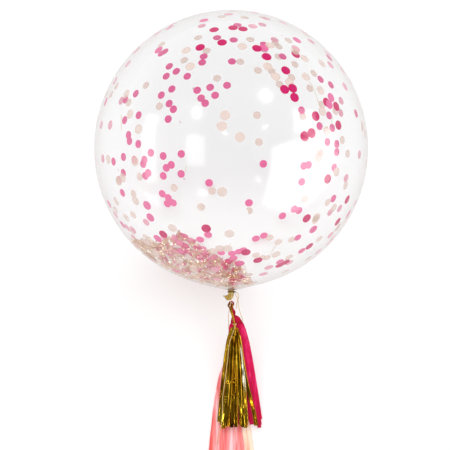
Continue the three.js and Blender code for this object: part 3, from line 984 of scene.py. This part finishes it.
# Foil that grows pale around one point of the flash strip: a painted highlight.
bright_foil = foil_material(
    "bright_foil", 0.03, 0.08, 0.2, [(0.3, (0.62, 0.38, 0.02)), (0.6, (1.0, 0.93, 0.66))],
    flash_strip[FLASH_STEP][0],
)
gold_under = loose_strips(gold_line, seed=8, count=22, tilt_range=0.1)
for cut in range(13, 16):
    gold_under[cut] = gold_under[cut][:CUT_STEPS]
tassel(
    "gold", gold_foil, creased_foil, "foil_gold", gold_under + gold_top,
    crumple=0.9 * MM, crumple_scale=38, seed=8, twists=0.45, flat=0.55,
    few_lines=[flash_strip], few_finish=bright_foil,
)
pink_line = TasselLine("pink")
tassel(
    "pink", pink_tissue, pink_tissue, "tissue_pink",
    loose_strips(pink_line, seed=5, count=25, tilt_range=0.35) + [
        strip_line(pink_line, 0.9, 5.6 * MM, 0.97, tilt=0.2, splay=9 * MM, lift=4 * MM),
        strip_line(pink_line, 0.98, 5.4 * MM, 0.99, tilt=-0.2, splay=19 * MM, lift=5 * MM),
    ],
    crumple=3 * MM, crumple_scale=30, seed=5, twists=1.4, flat=0.75,
)
tassel(
    "cream", cream_tissue, cream_tissue, "tissue_cream",
    loose_strips(TasselLine("cream"), seed=11, count=14, tilt_range=0.3),
    crumple=3 * MM, crumple_scale=30, seed=11, twists=1.6, flat=0.75,
)


# Bubble

FILM_SIDES = 160
FILM_RINGS = 90
FILM_PLEAT_DEPTH = 1.5 * MM  # of the pleats that run up the film from the neck
FILM_PLEAT_REACH = 0.15
GATHERED_RADIUS = 7.7 * MM
NECK_FOLDS = 12
LIP_ROOT = 7.4 * MM
LIP_EDGE = 1.9 * MM
LIP_BEAD = 0.9 * MM
LIP_RUFFLE = 3.4 * MM
LIP_FINE_RUFFLE = 0.7 * MM
LIP_SCALLOP = 4 * MM
LIP_RINGS = 18
MOUTH_RINGS = 4
MOUTH_DEPTH = 9 * MM
LIP_WALL = 0.9 * MM

VEIL = 0.1
BACK_VEIL_LESS = 0.028
RIM_VEIL = 0.7
GATHERED_VEIL = 0.3
SHADE_LESS = 0.9  # share of its shadow that the film doesn't cast


def film_material():
    """Clear film: a thin veil that thickens towards the rim and lets the lamps through."""
    made, nodes, shader = material("clear_film")
    facing = nodes.add("ShaderNodeLayerWeight", {"Blend": 0.5}).outputs["Facing"]
    gathered = nodes.add("ShaderNodeAttribute", attribute_name="gathered").outputs["Fac"]
    inside = nodes.add("ShaderNodeNewGeometry").outputs["Backfacing"]
    veil = nodes.math("MULTIPLY_ADD", inside, -BACK_VEIL_LESS, VEIL)
    rim = nodes.math("MULTIPLY_ADD", nodes.math("POWER", facing, 5.0), RIM_VEIL, veil)
    seen = nodes.math("MULTIPLY_ADD", gathered, GATHERED_VEIL, rim)
    shadow = nodes.add("ShaderNodeLightPath").outputs["Is Shadow Ray"]
    lit_through = nodes.math("MULTIPLY_ADD", shadow, -SHADE_LESS, 1.0)
    warm = ramp(nodes, gathered, [
        (0.0, (0.95, 0.95, 0.94)), (0.6, (0.93, 0.82, 0.68)), (1.0, (0.85, 0.6, 0.3)),
    ])
    edge = ramp(nodes, facing, [(0.6, (1, 1, 1)), (0.85, (0.84, 0.78, 0.75)), (0.97, (0.6, 0.52, 0.48))])
    tinted = mixed(nodes, 1.0, warm, edge, "MULTIPLY")
    dimmed = mixed(nodes, inside, tinted, (0.22, 0.22, 0.22, 1))
    shader.inputs["Alpha"].default_value = 0.1
    wire(
        nodes, shader,
        Base_Color=dimmed,
        Metallic=1.0, Roughness=0.13,
        Alpha=nodes.math("MULTIPLY", seen, lit_through),
        Normal=grain(nodes, 5, 4, strength=0.1, distance=10 * MM)["Normal"],
    )
    return made


def neck_material():
    """The film where it is gathered so thick that it looks amber."""
    made, nodes, shader = material("gathered_neck")
    tone = ramp(nodes, grain(nodes, 160, 3)["Tone"], [
        (0.35, (0.3, 0.17, 0.015)), (0.55, (0.56, 0.36, 0.06)), (0.75, (0.78, 0.6, 0.22)),
    ])
    wire(
        nodes, shader,
        Base_Color=tone,
        Roughness=0.22, Alpha=0.9,
        Normal=grain(nodes, 420, 3, strength=0.5, distance=1 * MM)["Normal"],
    )
    return made


def neck_ring(along, turn):
    """A point of the gathered neck, in fine folds."""
    fold = 0.25 * math.cos(NECK_FOLDS * turn) + 0.15 * math.cos(7 * turn + 1)
    radius = GATHERED_RADIUS + fold * MM
    return along_neck(math.cos(turn) * radius, along, math.sin(turn) * radius)


def lip_ring(share, turn, inner=0):
    """The open end of the neck, flattened, ruffled and turned over towards one side."""
    opened = smoothstep(0, 0.7, share)
    half = lerp(LIP_ROOT, LIP_HALF_WIDTH * 0.8, opened) - inner
    bead = LIP_BEAD * smoothstep(0.8, 0.97, share)
    thick = lerp(LIP_ROOT, LIP_EDGE, smoothstep(0, 0.55, share)) + bead - inner
    u = math.cos(turn)
    ruffle = LIP_RUFFLE * share * math.sin(2.2 * math.pi * u * 0.5 + 0.6)
    ruffle += LIP_FINE_RUFFLE * share * math.sin(9 * u)
    bend = LIP_TURN * 1.2 * share
    reach = LIP_LENGTH * 0.82 * share + LIP_SCALLOP * share ** 2 * (abs(math.cos(4.5 * u + 0.3)) - 0.6)
    crease = 1 + 0.05 * math.cos(NECK_FOLDS * turn) * (1 - share)
    side = -math.sin(bend) * reach + math.cos(bend) * u * half * crease
    along = NECK_ROOT + NECK_LENGTH - 1 * MM
    along += math.cos(bend) * reach + math.sin(bend) * u * half * crease
    return along_neck(side, along, math.sin(turn) * thick * crease + ruffle)


def bubble():
    """The film from the crown to the neck, through the neck and the lip and back into its mouth."""
    rings = []
    gathered = []
    for k in range(1, FILM_RINGS + 1):
        angle = math.pi - (math.pi - 0.03) * (k / FILM_RINGS) ** 0.92
        ring = []
        for s in range(FILM_SIDES):
            turn = 2 * math.pi * s / FILM_SIDES
            reach = skin_radius(angle)
            pleat = 0.6 * math.sin(20 * turn) + 0.4 * math.sin(33 * turn + 1)
            depth = FILM_PLEAT_DEPTH * math.exp(-((angle / FILM_PLEAT_REACH) ** 2)) * pleat
            out = reach * math.sin(angle) + depth * min(1, angle / 0.05)
            point = along_neck(math.cos(turn) * out, reach * math.cos(angle), math.sin(turn) * out)
            point.z = max(point.z, 0.0)
            ring.append(point)
        rings.append(ring)
        gathered.append(math.exp(-((angle / 0.09) ** 1.5)))
    skin_rings = len(rings)
    turns = [2 * math.pi * s / FILM_SIDES for s in range(FILM_SIDES)]
    tie_along = (TIE_MIDDLE - NECK_ROOT) / MM
    for down in (-1.5, -0.5, 1, tie_along, 8):
        rings.append([neck_ring(NECK_ROOT + down * MM, turn) for turn in turns])
    for k in range(1, LIP_RINGS + 1):
        rings.append([lip_ring(k / LIP_RINGS, turn) for turn in turns])
    for k in range(MOUTH_RINGS + 1):
        share = 1 - k * MOUTH_DEPTH / MOUTH_RINGS / LIP_LENGTH
        rings.append([lip_ring(share, turn, LIP_WALL) for turn in turns])
    gathered.extend([1] * (len(rings) - skin_rings))
    made = tube_object("bubble", rings, [film_material(), neck_material()])
    mesh = made.data
    values = [0] + [g for g in gathered for _ in range(FILM_SIDES)] + [1]
    mesh.attributes.new("gathered", "FLOAT", "POINT").data.foreach_set("value", values)
    for face in mesh.polygons:
        lowest = min(face.vertices)
        face.material_index = 1 if lowest > skin_rings * FILM_SIDES - FILM_SIDES else 0
    return finish_piece(outward(made), "film", "balloon")


bubble()


# Confetti

def sight_ray(pixel):
    """The way that the camera looks at a pixel."""
    x = (pixel[0] - FRAME_PIXELS / 2) / FOCAL_PIXELS
    y = (pixel[1] - FRAME_PIXELS / 2) / FOCAL_PIXELS
    return (side_axis * x + neck_axis * y - neck_face).normalized()


def on_skin(direction, inset):
    """A point of the wall in a direction from the centre, an inset inside it."""
    direction = direction.normalized()
    angle = math.acos(max(-1, min(1, direction.dot(neck_axis))))
    return centre + direction * (skin_radius(angle) - inset)


def seen_on_skin(pixel, front, inset):
    """The point of the skin that the photograph shows at a pixel, on the near or the far wall."""
    ray = sight_ray(pixel)
    off = camera.location - centre
    radius = BALLOON_RADIUS
    for _ in range(3):
        b = off.dot(ray)
        inside = b * b - off.length_squared + radius * radius
        if inside <= 0:
            inside = 0
        gone = -b - math.sqrt(inside) if front else -b + math.sqrt(inside)
        direction = (off + ray * gone).normalized()
        radius = skin_radius(math.acos(max(-1, min(1, direction.dot(neck_axis)))))
    return on_skin(direction, inset)


# Pixels of the photograph where a round of confetti has its middle

near_magenta = [
    (214, 29), (233, 27), (243, 28), (200, 47), (257, 48), (267, 56), (296, 54), (286, 70), (285, 89),
    (293, 88), (295, 97), (327, 102), (316, 116), (337, 106), (339, 125), (328, 179), (206, 229),
    (246, 253), (258, 261), (286, 263), (310, 247), (338, 222), (348, 200), (280, 266), (222, 42),
    (305, 136), (312, 133),
]
far_pink = [
    (232, 61), (202, 62), (176, 71), (166, 76), (187, 76), (169, 66), (210, 87), (215, 95), (227, 85),
    (197, 90), (201, 98), (205, 103), (161, 95), (173, 109), (168, 119), (138, 115), (163, 156),
    (181, 154), (166, 168), (171, 165), (163, 176), (249, 203), (209, 183), (309, 165), (304, 166),
    (302, 182), (328, 142), (337, 144), (337, 152), (128, 135), (134, 160), (123, 173), (124, 120),
    (129, 141), (138, 144), (123, 157), (119, 180), (122, 193), (143, 164), (148, 173), (145, 176),
    (167, 204), (173, 203), (162, 194), (168, 198), (161, 53), (217, 37), (264, 44), (283, 56), (321, 79),
    (302, 110), (320, 126), (181, 174), (208, 235), (200, 240), (221, 253), (232, 254), (239, 252),
    (256, 239), (264, 236), (298, 238), (302, 251), (198, 248), (181, 236),
]
blush = [
    (225, 115), (257, 115), (222, 126), (217, 78), (276, 76), (310, 88), (321, 90), (306, 138),
    (319, 157), (212, 191), (222, 192), (201, 207), (186, 50), (184, 60), (190, 66), (279, 46), (270, 45),
    (292, 77), (290, 82), (295, 64), (268, 66), (258, 70), (305, 58), (198, 37), (240, 264), (262, 258),
    (276, 255), (292, 240), (220, 249), (159, 106), (118, 181), (133, 194), (122, 178), (249, 211),
    (323, 111), (303, 116), (240, 137), (259, 142),
]
RANDOM_CONFETTI = 210
CONFETTI_SEED = 27
CONFETTI_INSET = (1.0 * MM, 2.6 * MM)
OFF_FLOOR = 6 * MM
# Shares of the radius, from the middle of the picture or down along the neck's axis
BARE_MIDDLE = 0.62
PALE_RIM = 0.84
PALE_CROWN = -0.62
NEAR_NECK = 0.985
TINT = {"magenta": 0.0, "pink": 0.5, "pale": 0.75, "blush": 1.0}


def random_way(rng):
    """A random vector that favours no direction."""
    return Vector((rng.gauss(0, 1), rng.gauss(0, 1), rng.gauss(0, 1)))


def keeping_chance(off_middle, down):
    """How likely a random place keeps its round: hardly in the middle of the picture."""
    if off_middle < BARE_MIDDLE:
        return 0.06
    if down > 0.5:
        return 1.0
    if abs(down) < 0.4:
        return 0.6
    return 0.9


def confetti_points():
    """A place and a tint for each round: those that the photograph shows, then random ones."""
    rng = random.Random(CONFETTI_SEED)
    points = []
    shown = ((near_magenta, "magenta", True), (far_pink, "pink", False), (blush, "blush", None))
    for pixels, tint, front in shown:
        for index, pixel in enumerate(pixels):
            near = index % 2 == 0 if front is None else front
            points.append((seen_on_skin(pixel, near, lerp(*CONFETTI_INSET, rng.random())), tint))
    count = len(points) + RANDOM_CONFETTI
    while len(points) < count:
        way = random_way(rng).normalized()
        right, down, near = way.dot(side_axis), way.dot(neck_axis), way.dot(neck_face)
        off_middle = math.hypot(right, down)
        place = on_skin(way, lerp(*CONFETTI_INSET, rng.random()))
        kept = rng.random() <= keeping_chance(off_middle, down)
        if not kept or down > NEAR_NECK or place.z < OFF_FLOOR:
            continue
        dark = "magenta" if near > 0.2 and rng.random() < 0.3 else "pink"
        if off_middle > PALE_RIM or down < PALE_CROWN:
            dark = "pale" if rng.random() < 0.75 else "pink"
        points.append((place, dark if rng.random() < 0.52 else "blush"))
    return points


def scatter_tree():
    """Sets a small shape on each point, turned to its facing, and crumples the whole a little."""
    tree, nodes, given = new_tree(
        "scattered bits", "GeometryNodeTree",
        {
            "Geometry": "Geometry", "Shape": "Object", "Crumple": "Float", "Crumple scale": "Float",
            "Material": "Material",
        },
        {"Geometry": "Geometry"},
    )
    shape = nodes.add("GeometryNodeObjectInfo", {"Object": given["Shape"]})
    facing = nodes.add("GeometryNodeInputNamedAttribute", {"Name": "facing"}, data_type="FLOAT_VECTOR")
    spin = nodes.add("GeometryNodeInputNamedAttribute", {"Name": "spin"}, data_type="FLOAT")
    size = nodes.add("GeometryNodeInputNamedAttribute", {"Name": "size"}, data_type="FLOAT")
    spun = nodes.add("ShaderNodeCombineXYZ", {"Z": spin.outputs[0]})
    turned = nodes.add(
        "FunctionNodeAlignRotationToVector",
        {"Rotation": spun.outputs[0], "Vector": facing.outputs[0]},
        axis="Z",
    )
    placed = nodes.add(
        "GeometryNodeInstanceOnPoints",
        {
            "Points": given["Geometry"], "Instance": shape.outputs["Geometry"], "Rotation": turned.outputs[0],
            "Scale": size.outputs[0],
        },
    )
    real = nodes.add("GeometryNodeRealizeInstances", {0: placed.outputs[0]})
    return coloured(tree, nodes, crumpled(nodes, real.outputs[0], given), given)


scattered_bits = scatter_tree()


def points_object(name, rows):
    """Bare points, each with its place, facing, spin, size and tint."""
    mesh = bpy.data.meshes.new(name)
    mesh.from_pydata([tuple(row[0]) for row in rows], [], [])
    mesh.attributes.new("facing", "FLOAT_VECTOR", "POINT").data.foreach_set(
        "vector", [value for row in rows for value in row[1]]
    )
    for column, attribute in ((2, "spin"), (3, "size"), (4, "tint")):
        values = [row[column] for row in rows]
        mesh.attributes.new(attribute, "FLOAT", "POINT").data.foreach_set("value", values)
    return link(bpy.data.objects.new(name, mesh))


PAPER_THICKNESS = 0.2 * MM


def disc_shape():
    """One round of confetti, a little dished like the wall it sticks to."""
    sides = 20
    points = []
    for layer in (0, PAPER_THICKNESS):
        for radius in (CONFETTI_RADIUS * 0.55, CONFETTI_RADIUS):
            for s in range(sides):
                turn = 2 * math.pi * s / sides
                dish = -radius ** 2 / (2 * BALLOON_RADIUS)
                points.append((radius * math.cos(turn), radius * math.sin(turn), dish + layer))
    faces = []
    low_in, low_out, top_in, top_out = (range(k * sides, (k + 1) * sides) for k in range(4))
    faces.append(tuple(reversed(low_in)))
    faces.append(tuple(top_in))
    for s in range(sides):
        t = (s + 1) % sides
        faces.append((low_in[s], low_in[t], low_out[t], low_out[s]))
        faces.append((top_in[t], top_in[s], top_out[s], top_out[t]))
        faces.append((low_out[s], low_out[t], top_out[t], top_out[s]))
    return mesh_object("disc", points, faces, [], smooth=False)


def scattered(name, rows, shape, finish, crumple=0.0, crumple_scale=20.0):
    """One mesh of a shape set at each row's place; the shape itself is removed."""
    made = grown(
        name, points_object(name + "_points", rows), scattered_bits,
        shape=shape, crumple=crumple, crumple_scale=crumple_scale, material=finish,
    )
    bpy.data.objects.remove(shape)
    return made


def paper_material():
    """Fibrous paper in the round's own tint, thinner and less solid where it is pale."""
    made, nodes, shader = material("confetti_paper")
    tint = nodes.add("ShaderNodeAttribute", attribute_name="tint").outputs["Fac"]
    colour = ramp(nodes, tint, [
        (TINT["magenta"], (0.69, 0.0, 0.14)), (TINT["pink"], (0.95, 0.17, 0.42)),
        (TINT["pale"], (0.95, 0.45, 0.57)), (TINT["blush"], (0.88, 0.68, 0.59)),
    ])
    fibres = ramp(nodes, grain(nodes, 500, 3)["Tone"], [(0.4, (0.5, 0.5, 0.5)), (0.6, (1, 1, 1))])
    wire(
        nodes, shader,
        Base_Color=mixed(nodes, 0.06, colour, fibres, "MULTIPLY"),
        Roughness=0.7, Specular_IOR_Level=0.2,
        Alpha=nodes.math("MULTIPLY_ADD", nodes.math("POWER", tint, 2.0), -0.5, 0.96),
    )
    return made


def confetti():
    """The rounds that stick to the inside of the film."""
    rng = random.Random(5)
    rows = []
    for place, tint in confetti_points():
        rows.append((place, (place - centre).normalized(), rng.random() * ANY_TURN, 1.0, TINT[tint]))
    made = scattered("confetti", rows, disc_shape(), paper_material())
    return finish_piece(made, "tissue_pink")


confetti()


# Heap of shreds, glitter and tissue

heap_top = [
    (133, 244), (151, 241), (168, 241), (180, 235), (192, 243), (205, 252), (218, 260), (234, 266),
    (242, 271), (251, 286),
]
tissue_top = [(154, 244), (180, 236), (194, 243), (207, 254), (222, 264), (240, 270), (249, 284)]


RIM_PIXELS = (139, 142)  # the outline's half-width and its drop below the balloon's middle
RIM_MARGIN = 1.5


def low_rim(x):
    """The pixel row where the balloon's outline ends below, at a pixel column."""
    off = (x - BALLOON_PIXEL[0]) / RIM_PIXELS[0]
    return BALLOON_PIXEL[1] + RIM_PIXELS[1] * math.sqrt(max(0, 1 - off * off))


def heap_pixels(rng, count, top, depth, crowd):
    """Pixels of the heap between its top edge and a share of the way to the rim."""
    out = []
    while len(out) < count:
        x = rng.uniform(top[0][0], top[-1][0])
        for a, b in zip(top, top[1:]):
            if a[0] <= x <= b[0]:
                edge = lerp(a[1], b[1], (x - a[0]) / (b[0] - a[0]))
        foot = lerp(edge, low_rim(x) - RIM_MARGIN, depth)
        out.append((x, lerp(edge, foot, rng.random() ** crowd)))
    return out


def heap_rows(seed, count, top, inset, size, lean, depth, crowd, reach):
    """Places in the heap, each far enough from the wall for its own reach and lean."""
    rng = random.Random(seed)
    rows = []
    for pixel in heap_pixels(rng, count, top, depth, crowd):
        scale = rng.uniform(*size)
        outward_way = (seen_on_skin(pixel, False, 0) - centre).normalized()
        facing = (outward_way + random_way(rng) * lean).normalized()
        tip = reach * scale * math.sin(facing.angle(outward_way))
        place = seen_on_skin(pixel, False, lerp(*inset, rng.random() ** 1.6) * MM + tip)
        rows.append((place, facing, rng.random() * ANY_TURN, scale, rng.random()))
    return rows


NECK_FILL_FROM = 0.315
NECK_FILL_TO = 0.398


def neck_rows(seed, count, size):
    """Places of what has slid into the mouth of the neck."""
    rng = random.Random(seed)
    rows = []
    for _ in range(count):
        along = lerp(NECK_FILL_FROM, NECK_FILL_TO, rng.random())
        wide = lerp(22 * MM, 5 * MM, (along - NECK_FILL_FROM) / (NECK_FILL_TO - NECK_FILL_FROM))
        turn = rng.random() * ANY_TURN
        out = wide * rng.random() ** 0.6
        place = along_neck(6 * MM + math.cos(turn) * out, along, math.sin(turn) * out * 0.8)
        facing = random_way(rng).normalized()
        rows.append((place, facing, rng.random() * ANY_TURN, rng.uniform(*size), rng.random()))
    return rows


RIBBON_THICKNESS = 0.12 * MM
SCRAP_THICKNESS = 0.1 * MM


def ribbon_shape(length, width, wave):
    """A short bent ribbon, thin and closed."""
    steps = 10
    points = []
    for k in range(steps + 1):
        x = length * (k / steps - 0.5)
        z = wave * math.sin(9 * k / steps)
        y = wave * 1.4 * math.cos(5 * k / steps)
        for side, over in ((-1, 0), (1, 0), (1, 1), (-1, 1)):
            points.append((x, y + side * width / 2, z + over * RIBBON_THICKNESS))
    faces = [(0, 1, 2, 3), tuple(4 * steps + i for i in (3, 2, 1, 0))]
    for k in range(steps):
        for i in range(4):
            j = (i + 1) % 4
            faces.append((4 * k + j, 4 * k + i, 4 * k + 4 + i, 4 * k + 4 + j))
    return mesh_object("ribbon", points, faces, [], smooth=False)


def scrap_shape(length, width, sides=9):
    """A torn scrap of tissue with an uneven outline, thin and closed."""
    rng = random.Random(17)
    low = [(0, 0, 0)]
    for k in range(sides):
        turn = 2 * math.pi * k / sides
        reach = 0.7 + 0.5 * rng.random()
        x, y = length / 2 * reach * math.cos(turn), width / 2 * reach * math.sin(turn)
        low.append((x, y, 3 * MM * math.sin(3 * turn)))
    points = low + [(x, y, z + SCRAP_THICKNESS) for x, y, z in low]
    count = sides + 1
    faces = []
    for k in range(sides):
        a, b = k + 1, (k + 1) % sides + 1
        faces.extend([(0, b, a), (count, count + a, count + b), (a, b, count + b, count + a)])
    return mesh_object("scrap", points, faces, [], smooth=False)


def tinted_material(name, colours, **sockets):
    """A finish in three tones, of which each bit takes one by its tint, also as the colour of a painted glow
    where one is given.
    """
    made, nodes, shader = material(name)
    tint = nodes.add("ShaderNodeAttribute", attribute_name="tint").outputs["Fac"]
    tone = ramp(nodes, tint, [(0.0, colours[0]), (0.5, colours[1]), (1.0, colours[2])])
    sockets = {"Emission_Color": tone, **sockets}
    wire(
        nodes, shader,
        Base_Color=tone,
        Normal=grain(nodes, 400, 2, strength=0.2, distance=0.4 * MM)["Normal"],
        **sockets,
    )
    return made


def gold_thread(pixels, front):
    """A loose gold thread that lies against the wall."""
    path = smooth_path([seen_on_skin(pixel, front, THREAD_INSET) for pixel in pixels], THREAD_STEP)
    return outward(tube_object("gold_thread", string_rings(path, THREAD_RADIUS), [gold_string]))


# Loose threads: pixels along each, and whether it lies on the near wall

THREAD_INSET = 2.2 * MM
THREAD_STEP = 1.5 * MM
THREAD_RADIUS = 0.55 * MM
gold_threads = [
    ([(277, 245), (273, 251), (269, 258)], True),
    ([(310, 81), (314, 88), (317, 96), (320, 105)], True),
    ([(121, 114), (120.5, 122), (121, 130)], False),
    ([(225, 271), (228, 264), (234, 260.5), (240, 261.5), (245, 267), (247, 276)], False),
    ([(206, 249), (210, 254), (214, 263), (217, 272)], True),
    ([(231, 244), (228, 248), (229, 252)], True),
    ([(186, 166), (185, 172)], True),
    ([(333, 116), (332, 125)], False),
]


def forked_shape():
    """A small offcut with three thin arms."""
    points = []
    for over in (0, PAPER_THICKNESS):
        for k in range(6):
            turn = math.pi * k / 3
            arm = k % 2 == 0
            out = (5 if arm else 1) * MM
            for side in ((-0.8 * MM, 0.8 * MM) if arm else (0,)):
                x = out * math.cos(turn) - side * math.sin(turn)
                y = out * math.sin(turn) + side * math.cos(turn)
                points.append((x, y, over))
    count = len(points) // 2
    faces = [tuple(reversed(range(count))), tuple(range(count, 2 * count))]
    for k in range(count):
        j = (k + 1) % count
        faces.append((k, j, count + j, count + k))
    return mesh_object("fork", points, faces, [], smooth=False)


fork_pixels = [(180, 122), (184, 179), (282, 35), (271, 46), (337, 110), (193, 88), (217, 125), (118, 170)]


def heap():
    """All that lies loose at the bottom of the bubble, as one body."""
    shred = tinted_material(
        "gold_shreds", ((0.42, 0.2, 0.06), (0.72, 0.43, 0.2), (0.95, 0.7, 0.4)), Roughness=0.4,
    )
    # The glitter's emission is painted glints, not a lamp.
    glitter_with_painted_glints = tinted_material(
        "glitter", ((1.0, 0.85, 0.5), (1.0, 0.95, 0.75), (1.0, 1.0, 0.95)), Roughness=0.3,
        Emission_Color=(1.0, 0.9, 0.65, 1), Emission_Strength=0.6,
    )
    # The emission of the beige bits is a painted glow that stands in for light through the tissue.
    beige = tinted_material(
        "beige_tissue", ((0.58, 0.29, 0.17), (0.72, 0.47, 0.32), (0.88, 0.71, 0.56)), Roughness=0.7,
        Alpha=0.5, Emission_Strength=0.18,
    )
    pale = tinted_material(
        "pale_rounds", ((0.9, 0.7, 0.64), (0.93, 0.8, 0.76), (0.97, 0.9, 0.88)), Roughness=0.7, Alpha=0.6,
    )
    # The emission of the rose bits is a painted glow that stands in for light through the tissue.
    rose = tinted_material(
        "rose_tissue", ((0.76, 0.09, 0.25), (0.84, 0.2, 0.39), (0.9, 0.4, 0.5)), Roughness=0.7,
        Alpha=0.62, Emission_Strength=0.08,
    )
    dots = [(172, 240), (181, 235), (193, 243), (206, 254), (218, 262), (232, 264)]
    long, flake = 22 * MM, 2.6 * MM
    # In the heap: seed, count, upper edge, inset in mm, size, lean, depth, crowd and reach
    heaped = (
        ("beige_bits", (70, 380, heap_top, (4, 8), (0.7, 1.4), 0.1, 1, 0.8, 15 * MM),
         scrap_shape(30 * MM, 14 * MM), beige, 4 * MM, 40),
        ("shreds", (71, 700, heap_top, (1.5, 8), (0.5, 1.3), 0.15, 1, 0.9, 11 * MM),
         ribbon_shape(long, 0.7 * MM, 1.2 * MM), shred, 4 * MM, 60),
        ("glitter", (72, 170, heap_top, (8, 14), (0.7, 2.2), 0.2, 0.9, 0.9, 2 * MM),
         ribbon_shape(flake, flake, 0.05 * MM), glitter_with_painted_glints, 0.0, 20),
        ("rose_bits", (73, 150, tissue_top, (3, 9), (0.6, 1.2), 0.12, 0.9, 1.0, 15 * MM),
         scrap_shape(28 * MM, 13 * MM), rose, 5 * MM, 45),
        ("rose_rounds", (77, 46, dots, (4, 11), (1.0, 1.0), 0.12, 0.45, 0.9, 13 * MM),
         disc_shape(), rose, 0.0, 20),
        ("pale_rounds", (78, 30, heap_top, (6, 13), (1.0, 1.0), 0.12, 1, 0.7, 13 * MM),
         disc_shape(), pale, 0.0, 20),
    )
    # In the mouth of the neck: seed, count and size
    slid = (
        ("neck_shreds", (74, 190, (0.3, 0.6)), ribbon_shape(long, 0.8 * MM, 1.2 * MM), shred, 4 * MM, 60),
        ("neck_bits", (75, 60, (0.35, 0.6)), scrap_shape(24 * MM, 9 * MM), rose, 4 * MM, 45),
        ("neck_glitter", (76, 34, (0.7, 1.8)), ribbon_shape(flake, flake, 0.05 * MM), glitter_with_painted_glints, 0.0, 20),
    )
    parts = []
    for rows_of, group in ((heap_rows, heaped), (neck_rows, slid)):
        for name, spread, shape, finish, crumple, crumple_scale in group:
            parts.append(scattered(name, rows_of(*spread), shape, finish, crumple, crumple_scale))
    forks = []
    rng = random.Random(79)
    for pixel in fork_pixels:
        place = seen_on_skin(pixel, False, 1.5 * MM)
        facing = (place - centre).normalized()
        forks.append((place, facing, rng.random() * ANY_TURN, rng.uniform(0.7, 1.1), 0.2))
    parts.append(scattered("offcuts", forks, forked_shape(), rose))
    parts.extend(gold_thread(pixels, front) for pixels, front in gold_threads)
    return finish_piece(joined("heap", parts), "foil_gold")


heap()


# Floor, light and surroundings

FLOOR_HALF = 9
FLOOR_GAP = 0.5 * MM


def floor():
    """A pale floor, which gives back a little light of its own as a lit white studio does."""
    made, nodes, shader = material("floor_paint")
    wire(
        nodes, shader, Base_Color=(0.55, 0.55, 0.548, 1), Roughness=0.9, Specular_IOR_Level=0.1,
        Emission_Color=(1, 1, 1, 1), Emission_Strength=0.48,
    )
    corners = ((-1, -1), (1, -1), (1, 1), (-1, 1))
    points = [(x * FLOOR_HALF, y * FLOOR_HALF, -FLOOR_GAP) for x, y in corners]
    mesh_object("floor", points, [(0, 1, 2, 3)], [made], smooth=False)


def lamp(name, direction, distance, size, radiance, shape="SQUARE", mirrored=True):
    """An area lamp that faces the balloon, given by the brightness of its face."""
    data = bpy.data.lights.new(name, "AREA")
    data.shape = shape
    data.size = size[0]
    area = size[0] ** 2
    if shape == "RECTANGLE":
        data.size_y = size[1]
        area = size[0] * size[1]
    if shape == "DISK":
        area *= math.pi / 4
    data.energy = radiance * math.pi * area
    made = link(bpy.data.objects.new(name, data))
    way = Vector(direction).normalized()
    made.location = centre + way * distance
    made.rotation_mode = "QUATERNION"
    made.rotation_quaternion = way.to_track_quat("Z", "Y")
    made.visible_glossy = mirrored
    return made


def mirrored_at(pixel):
    """Where the near skin is seen at a pixel, and the way that it mirrors there."""
    at = seen_on_skin(pixel, True, 0)
    normal = (at - centre).normalized()
    sight = (at - camera.location).normalized()
    return at, sight - normal * 2 * sight.dot(normal), normal


def glint_lamp(name, pixel, distance, half_pixels, radiance, shape):
    """A lamp that lights nothing, and that the near skin mirrors over a patch of the picture."""
    at, way, normal = mirrored_at(pixel)
    place = at + way * distance
    size = []
    for across in ((half_pixels[0], 0), (0, half_pixels[1])):
        ends = []
        for sign in (-1, 1):
            start, ray, _ = mirrored_at((pixel[0] + sign * across[0], pixel[1] + sign * across[1]))
            ends.append(start + ray * ((place - start).dot(way) / ray.dot(way)))
        size.append((ends[1] - ends[0]).length)
    if shape == "DISK":
        size = [sum(size) / 2]
    made = lamp(name, place - centre, (place - centre).length, size, radiance, shape)
    across = side_axis - normal * 2 * side_axis.dot(normal)
    across = (across - way * across.dot(way)).normalized()
    made.rotation_quaternion = Matrix((across, way.cross(across), way)).transposed().to_quaternion()
    made.visible_diffuse = False
    return made


FAR_LAMP = 3.0
NEAR_LAMP = 2.6

floor()
lamp("overhead", (0, -0.1, 1), 5.0, (10,), 1.6, mirrored=False)
# Lamps that the film mirrors: pixel, distance, half the patch's size in pixels, brightness and shape
for glint in (
    ("round_right", (266, 94), FAR_LAMP, (4.2, 4.2), 25, "DISK"),
    ("round_left", (197, 111), FAR_LAMP, (3, 3), 25, "DISK"),
    ("small_right", (264.5, 125), FAR_LAMP, (0.8, 0.8), 40, "DISK"),
    ("small_left", (225, 131), FAR_LAMP, (0.8, 0.8), 40, "DISK"),
    ("panel_middle", (195, 148), FAR_LAMP, (9, 15), 1.5, "RECTANGLE"),
    ("panel_left", (148, 146), NEAR_LAMP, (6, 34), 1.7, "RECTANGLE"),
    ("panel_low", (148, 198), NEAR_LAMP, (10, 7), 1.5, "RECTANGLE"),
    ("window_right", (307, 173), NEAR_LAMP, (33, 37), 2.2, "RECTANGLE"),
    ("window_top", (305, 120), NEAR_LAMP, (11, 12), 1.7, "RECTANGLE"),
):
    glint_lamp(*glint)

world = bpy.data.worlds.new("studio")
world.use_nodes = True
sky = Nodes(world.node_tree)
direction = sky.add("ShaderNodeNewGeometry").outputs["Position"]
height = sky.add("ShaderNodeSeparateXYZ", {0: direction}).outputs["Z"]
background = world.node_tree.nodes["Background"]
world.node_tree.links.new(
    ramp(sky, height, [(0.0, (0.95, 0.95, 0.95)), (0.25, (0.55, 0.55, 0.56)), (0.6, (0.14, 0.14, 0.145))]),
    background.inputs[0],
)
background.inputs[1].default_value = 1.0
bpy.context.scene.world = world
bpy.context.scene.view_settings.view_transform = "Standard"
